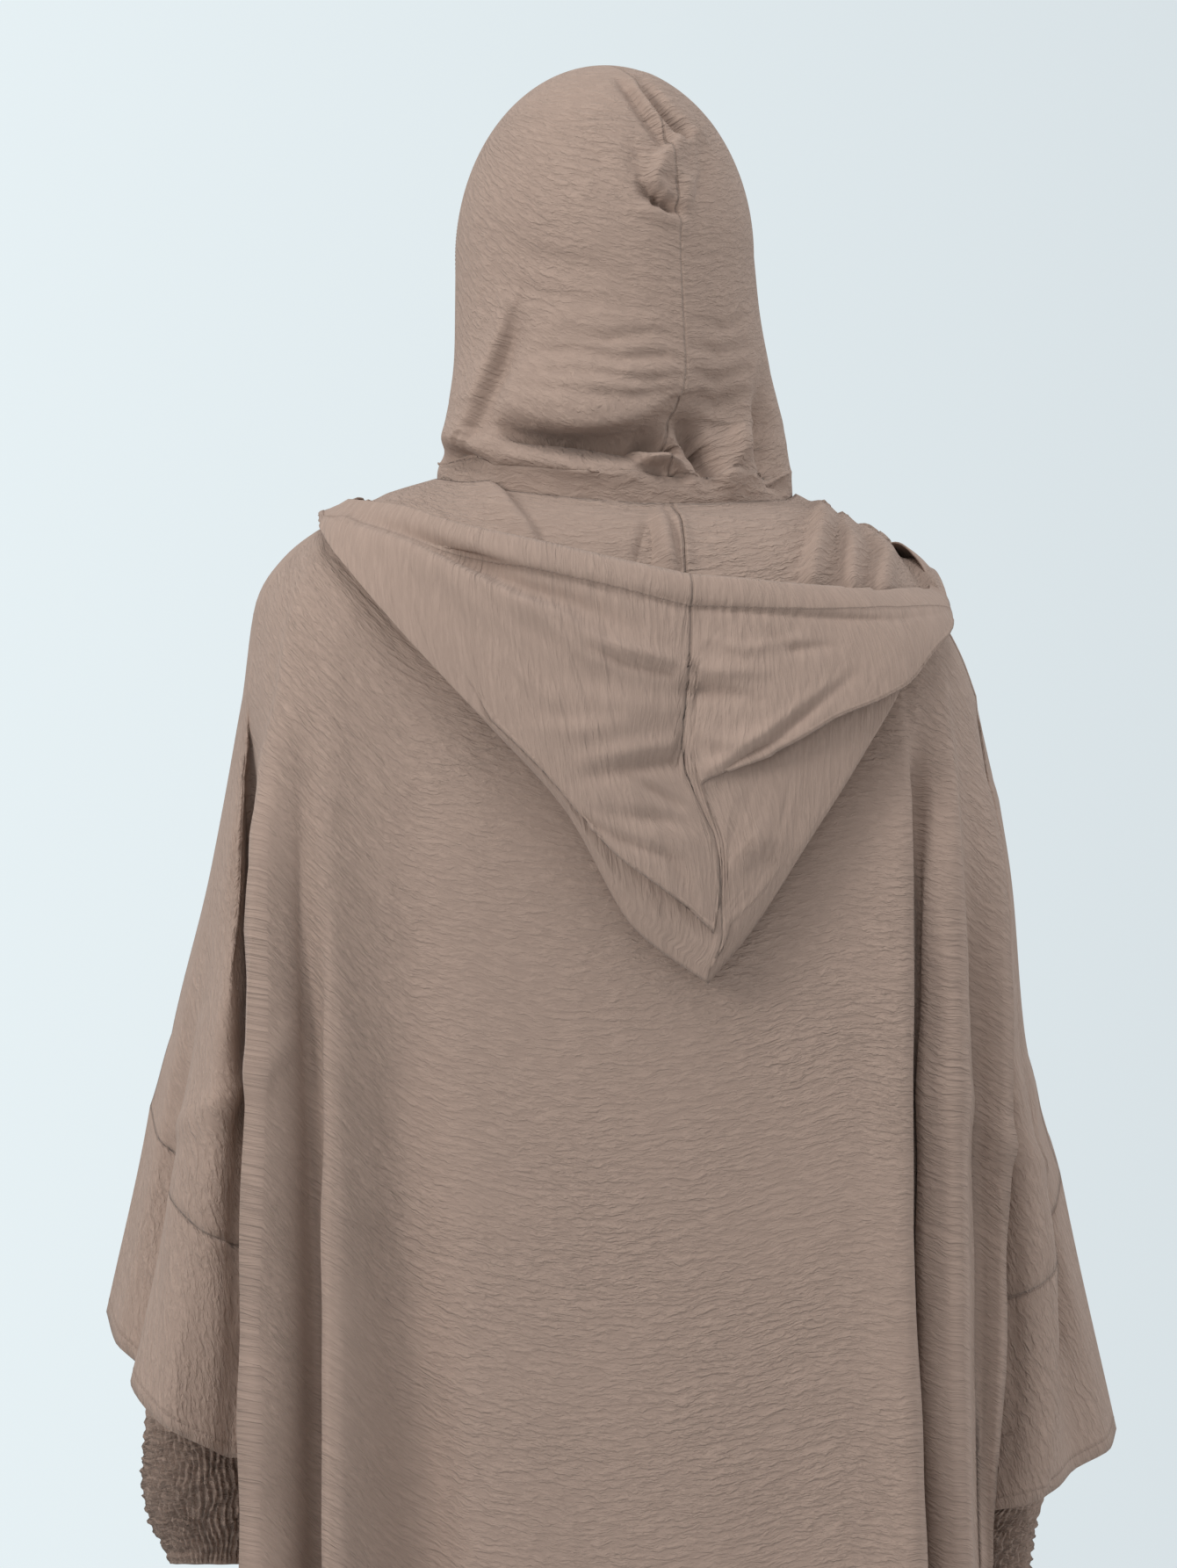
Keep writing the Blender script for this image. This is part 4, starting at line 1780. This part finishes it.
@dataclass
class Studio:
    """The camera at the photograph's viewing angle, plain soft light and a plain pale floor."""

    view_height: float = 0.928
    aim: tuple[float, float, float] = (-0.0156, -0.10, -0.152)
    distance: float = 30.0
    sensor: float = 36.0
    lamps: tuple[Lamp, ...] = (
        Lamp("key", -56.0, 26.0, 1.1, 46.0, (1.0, 0.985, 0.965)),
        Lamp("sky", -8.0, 70.0, 1.6, 39.0, (0.97, 0.985, 1.0)),
        Lamp("side", 98.0, 14.0, 1.2, 17.0, (0.98, 0.99, 1.0)),
    )
    lamp_distance: float = 3.4
    lamp_aim: tuple[float, float, float] = (0.0, 0.0, -0.3)
    fill_colour: Colour = (0.84, 0.855, 0.87)
    fill_strength: float = 0.86
    backdrop_left: Colour = (0.795, 0.876, 0.905)
    backdrop_right: Colour = (0.692, 0.760, 0.791)
    backdrop_spread: float = 0.0118
    floor_radius: float = 1.7
    floor_sides: int = 96
    floor_drop: float = 0.012
    floor_highest: float = -1.37
    floor_tint: Colour = (0.96, 1.0, 1.02)
    floor_roughness: float = 0.8
    floor_speck: float = 3.0
    floor_tone: Fade = (0.2, 0.8, 0.70, 0.74)

    def camera(self) -> None:
        """Put the camera behind the garment, level and looking towards its front."""
        data = bpy.data.cameras.new("camera")
        data.sensor_fit = "AUTO"
        data.sensor_width = self.sensor
        data.lens = self.sensor * self.distance / self.view_height
        camera = bpy.data.objects.new("camera", data)
        bpy.context.scene.collection.objects.link(camera)
        camera.location = (self.aim[0], self.aim[1] - self.distance, self.aim[2])
        camera.rotation_euler = (pi / 2, 0.0, 0.0)
        bpy.context.scene.camera = camera

    def hang(self, lamp: Lamp) -> None:
        """Aim one lamp at the garment.

        Args:
            lamp: The lamp.
        """
        data = bpy.data.lights.new(lamp.name, "AREA")
        data.shape = "DISK"
        data.size = lamp.size
        data.energy = lamp.power
        data.color = lamp.colour
        thing = bpy.data.objects.new(lamp.name, data)
        bpy.context.scene.collection.objects.link(thing)
        turn, climb = radians(lamp.turn), radians(lamp.climb)
        away = Vector((sin(turn) * cos(climb), -cos(turn) * cos(climb), sin(climb)))
        thing.location = Vector(self.lamp_aim) + away * self.lamp_distance
        thing.rotation_mode = "QUATERNION"
        thing.rotation_quaternion = (-away).to_track_quat("-Z", "Y")

    def light(self) -> None:
        """Hang the lamps, and put a pale room round the garment and a plain backdrop behind it."""
        for lamp in self.lamps:
            self.hang(lamp)
        world = bpy.data.worlds.new("room")
        bpy.context.scene.world = world
        world.use_nodes = True
        sheet = NodeTree(world.node_tree)
        room = sheet.tree.nodes["Background"]
        room.inputs["Color"].default_value = (*self.fill_colour, 1.0)
        room.inputs["Strength"].default_value = self.fill_strength
        away = sheet.add("ShaderNodeTexCoord").outputs["Generated"]
        level = sheet.add("ShaderNodeSeparateXYZ", {0: away}).outputs["X"]
        ends = {"Value": level, "From Min": -self.backdrop_spread, "From Max": self.backdrop_spread}
        spread = sheet.add("ShaderNodeMapRange", ends).outputs[0]
        tint = sheet.blend(spread, self.backdrop_left, self.backdrop_right)
        wall = sheet.add("ShaderNodeBackground", {"Color": tint}).outputs[0]
        seen = sheet.add("ShaderNodeLightPath").outputs["Is Camera Ray"]
        mix = sheet.add("ShaderNodeMixShader", {0: seen, 1: room.outputs[0], 2: wall}).outputs[0]
        sheet.tree.links.new(mix, sheet.tree.nodes["World Output"].inputs[0])
        bpy.context.scene.view_settings.view_transform = "Standard"

    def floor(self) -> None:
        """Lay a plain pale floor just below the hem."""
        mesh = bmesh.new()
        bmesh.ops.create_circle(mesh, cap_ends=True, segments=self.floor_sides, radius=self.floor_radius)
        low = min(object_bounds()[0].z, self.floor_highest) - self.floor_drop
        bmesh.ops.translate(mesh, verts=mesh.verts[:], vec=(0.0, 0.0, low))
        data = bpy.data.meshes.new("floor")
        mesh.to_mesh(data)
        mesh.free()
        sheet = NodeSheet("floor", self.floor_roughness)
        place = sheet.add("ShaderNodeTexCoord").outputs["Object"]
        tone = sheet.fade(sheet.noise(place, self.floor_speck, 3.0), *self.floor_tone)
        shares = {number: sheet.sum("MULTIPLY", tone, share) for number, share in enumerate(self.floor_tint)}
        mixed = sheet.add("ShaderNodeCombineColor", shares).outputs[0]
        sheet.tree.links.new(mixed, sheet.shader.inputs["Base Color"])
        data.materials.append(sheet.material)
        thing = bpy.data.objects.new("floor", data)
        bpy.context.scene.collection.objects.link(thing)
        thing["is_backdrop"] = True


NAPE_SAG = ((-20.0, 66.0), (44.0, 9.0), 9.0)
NECK_SAG = ((36.0, 22.0), (70.0, 13.0), 6.5)
SMOCKED_COLOUR = (0.292, 0.212, 0.170)
THREAD_COLOUR = (0.25, 0.185, 0.150)
THREAD_ROUGHNESS = 0.8
CUTS = {
    "back_panel": Cut(1.30, 1.46, 1.34, Held.HUNG),
    "front_panel": Cut(1.28, 1.44, 1.17, Held.HUNG),
    "sleeve_left": Cut(0.30, 0.24, 0.060, Held.HUNG),
    "sleeve_right": Cut(0.30, 0.24, 0.064, Held.HUNG),
    "cuff_left": Cut(0.30, 0.22, 0.066, Held.GATHERED),
    "cuff_right": Cut(0.30, 0.22, 0.066, Held.GATHERED),
    "neck_band": Cut(0.63, 0.022, 0.0132, Held.HUNG),
    "inner_hood_left": Cut(0.31, 0.41, 0.066, Held.DRAPED),
    "inner_hood_right": Cut(0.31, 0.41, 0.066, Held.DRAPED),
    "outer_hood_left": Cut(0.48, 0.50, 0.116, Held.HUNG, ("back_panel", "front_panel")),
    "outer_hood_right": Cut(0.48, 0.46, 0.102, Held.HUNG, ("back_panel", "front_panel")),
}


def thread_finish() -> bpy.types.Material:
    """The dull thread of the stitches."""
    sheet = NodeSheet("thread", THREAD_ROUGHNESS)
    sheet.shader.inputs["Base Color"].default_value = (*THREAD_COLOUR, 1.0)
    return sheet.material


@dataclass
class Dressing:
    """Turns the laid forms into the garment's pieces, each with its cut and its hem stitches."""

    thread: bpy.types.Material
    narrow: Stitching = field(default_factory=Stitching)
    casing: Stitching = field(default_factory=lambda: Stitching(inset=OuterHood.casing - CLOTH_WALL))

    def dress(self, node: str, part: bmesh.types.BMesh, slot: Slot, *finishes: bpy.types.Material) -> None:
        """Put one piece of cloth in the place of its solid.

        Args:
            node: The solid's name.
            part: The piece's mesh.
            slot: Its slot in the record.
            finishes: Its finishes, by the number that its faces carry.
        """
        if slot is Slot.CREPE and node != "neck_band":
            stitching = self.casing if node.startswith("outer") else self.narrow
            stitching.row(node + "_stitches", part, self.thread)
        thing = finish_piece(node + "_cloth", part, finishes[0], (node,))
        for finish in finishes[1:]:
            thing.data.materials.append(finish)
        CUTS[node].declare(thing)


def main() -> None:
    """Dress every piece of the abaya and light it."""
    logging.basicConfig(level=logging.INFO, format="%(message)s")
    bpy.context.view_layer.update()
    crepe = CrepeFinish("body crepe").make()
    ribbed = CrepeFinish("outer hood crepe", wrinkle_length=26.0, wrinkle_pitch=2.9, wrinkle_height=0.40,
                         fine_height=0.14, jog=0.0012, crumple_height=2.4, hem_width=OuterHood.casing).make()
    smocked = CrepeFinish("smocked crepe", colour=SMOCKED_COLOUR).make()
    dressing = Dressing(thread_finish())
    body = BodyCloth()
    body.lay_out()
    body.form.crease(BODY_CREASES + FRONT_CREASES)
    body.form.sag(*NECK_SAG)
    for piece, node in ((BodyPiece.BACK, "back_panel"), (BodyPiece.FRONT, "front_panel"),
                        (BodyPiece.SLEEVE_LEFT, "sleeve_left"), (BodyPiece.SLEEVE_RIGHT, "sleeve_right")):
        dressing.dress(node, body.form.cut_out(piece.value), Slot.CREPE, crepe)
    head = HeadHood()
    head.lay_out()
    head.form.crease(HEAD_CREASES)
    head.form.crease(CROWN_CREASES)
    head.form.sag(*NAPE_SAG)
    head.form.sag(*NECK_SAG)
    for piece, node in ((HoodPiece.BAND, "neck_band"), (HoodPiece.LEFT, "inner_hood_left"),
                        (HoodPiece.RIGHT, "inner_hood_right")):
        dressing.dress(node, head.form.cut_out(piece.value), Slot.CREPE, crepe)
    outer = OuterHood()
    outer.lay_out(body.form.tree())
    outer.form.crease(OUTER_CREASES + LINING_CREASES)
    outer.form.sag(*NECK_SAG)
    for number, node in enumerate(("outer_hood_left", "outer_hood_right")):
        dressing.dress(node, outer.form.cut_out(number), Slot.CREPE, crepe, ribbed)
    for arm, rings, node in ((LEFT_ARM, LEFT_RINGS, "cuff_left"), (RIGHT_ARM, RIGHT_RINGS, "cuff_right")):
        cuff = SmockedCuff(arm, rings)
        cuff.lay_out(body)
        dressing.dress(node, cuff.form.cut_out(0), Slot.SMOCKED, smocked)
    studio = Studio()
    studio.camera()
    studio.light()
    studio.floor()


if __name__ == "__main__":
    main()
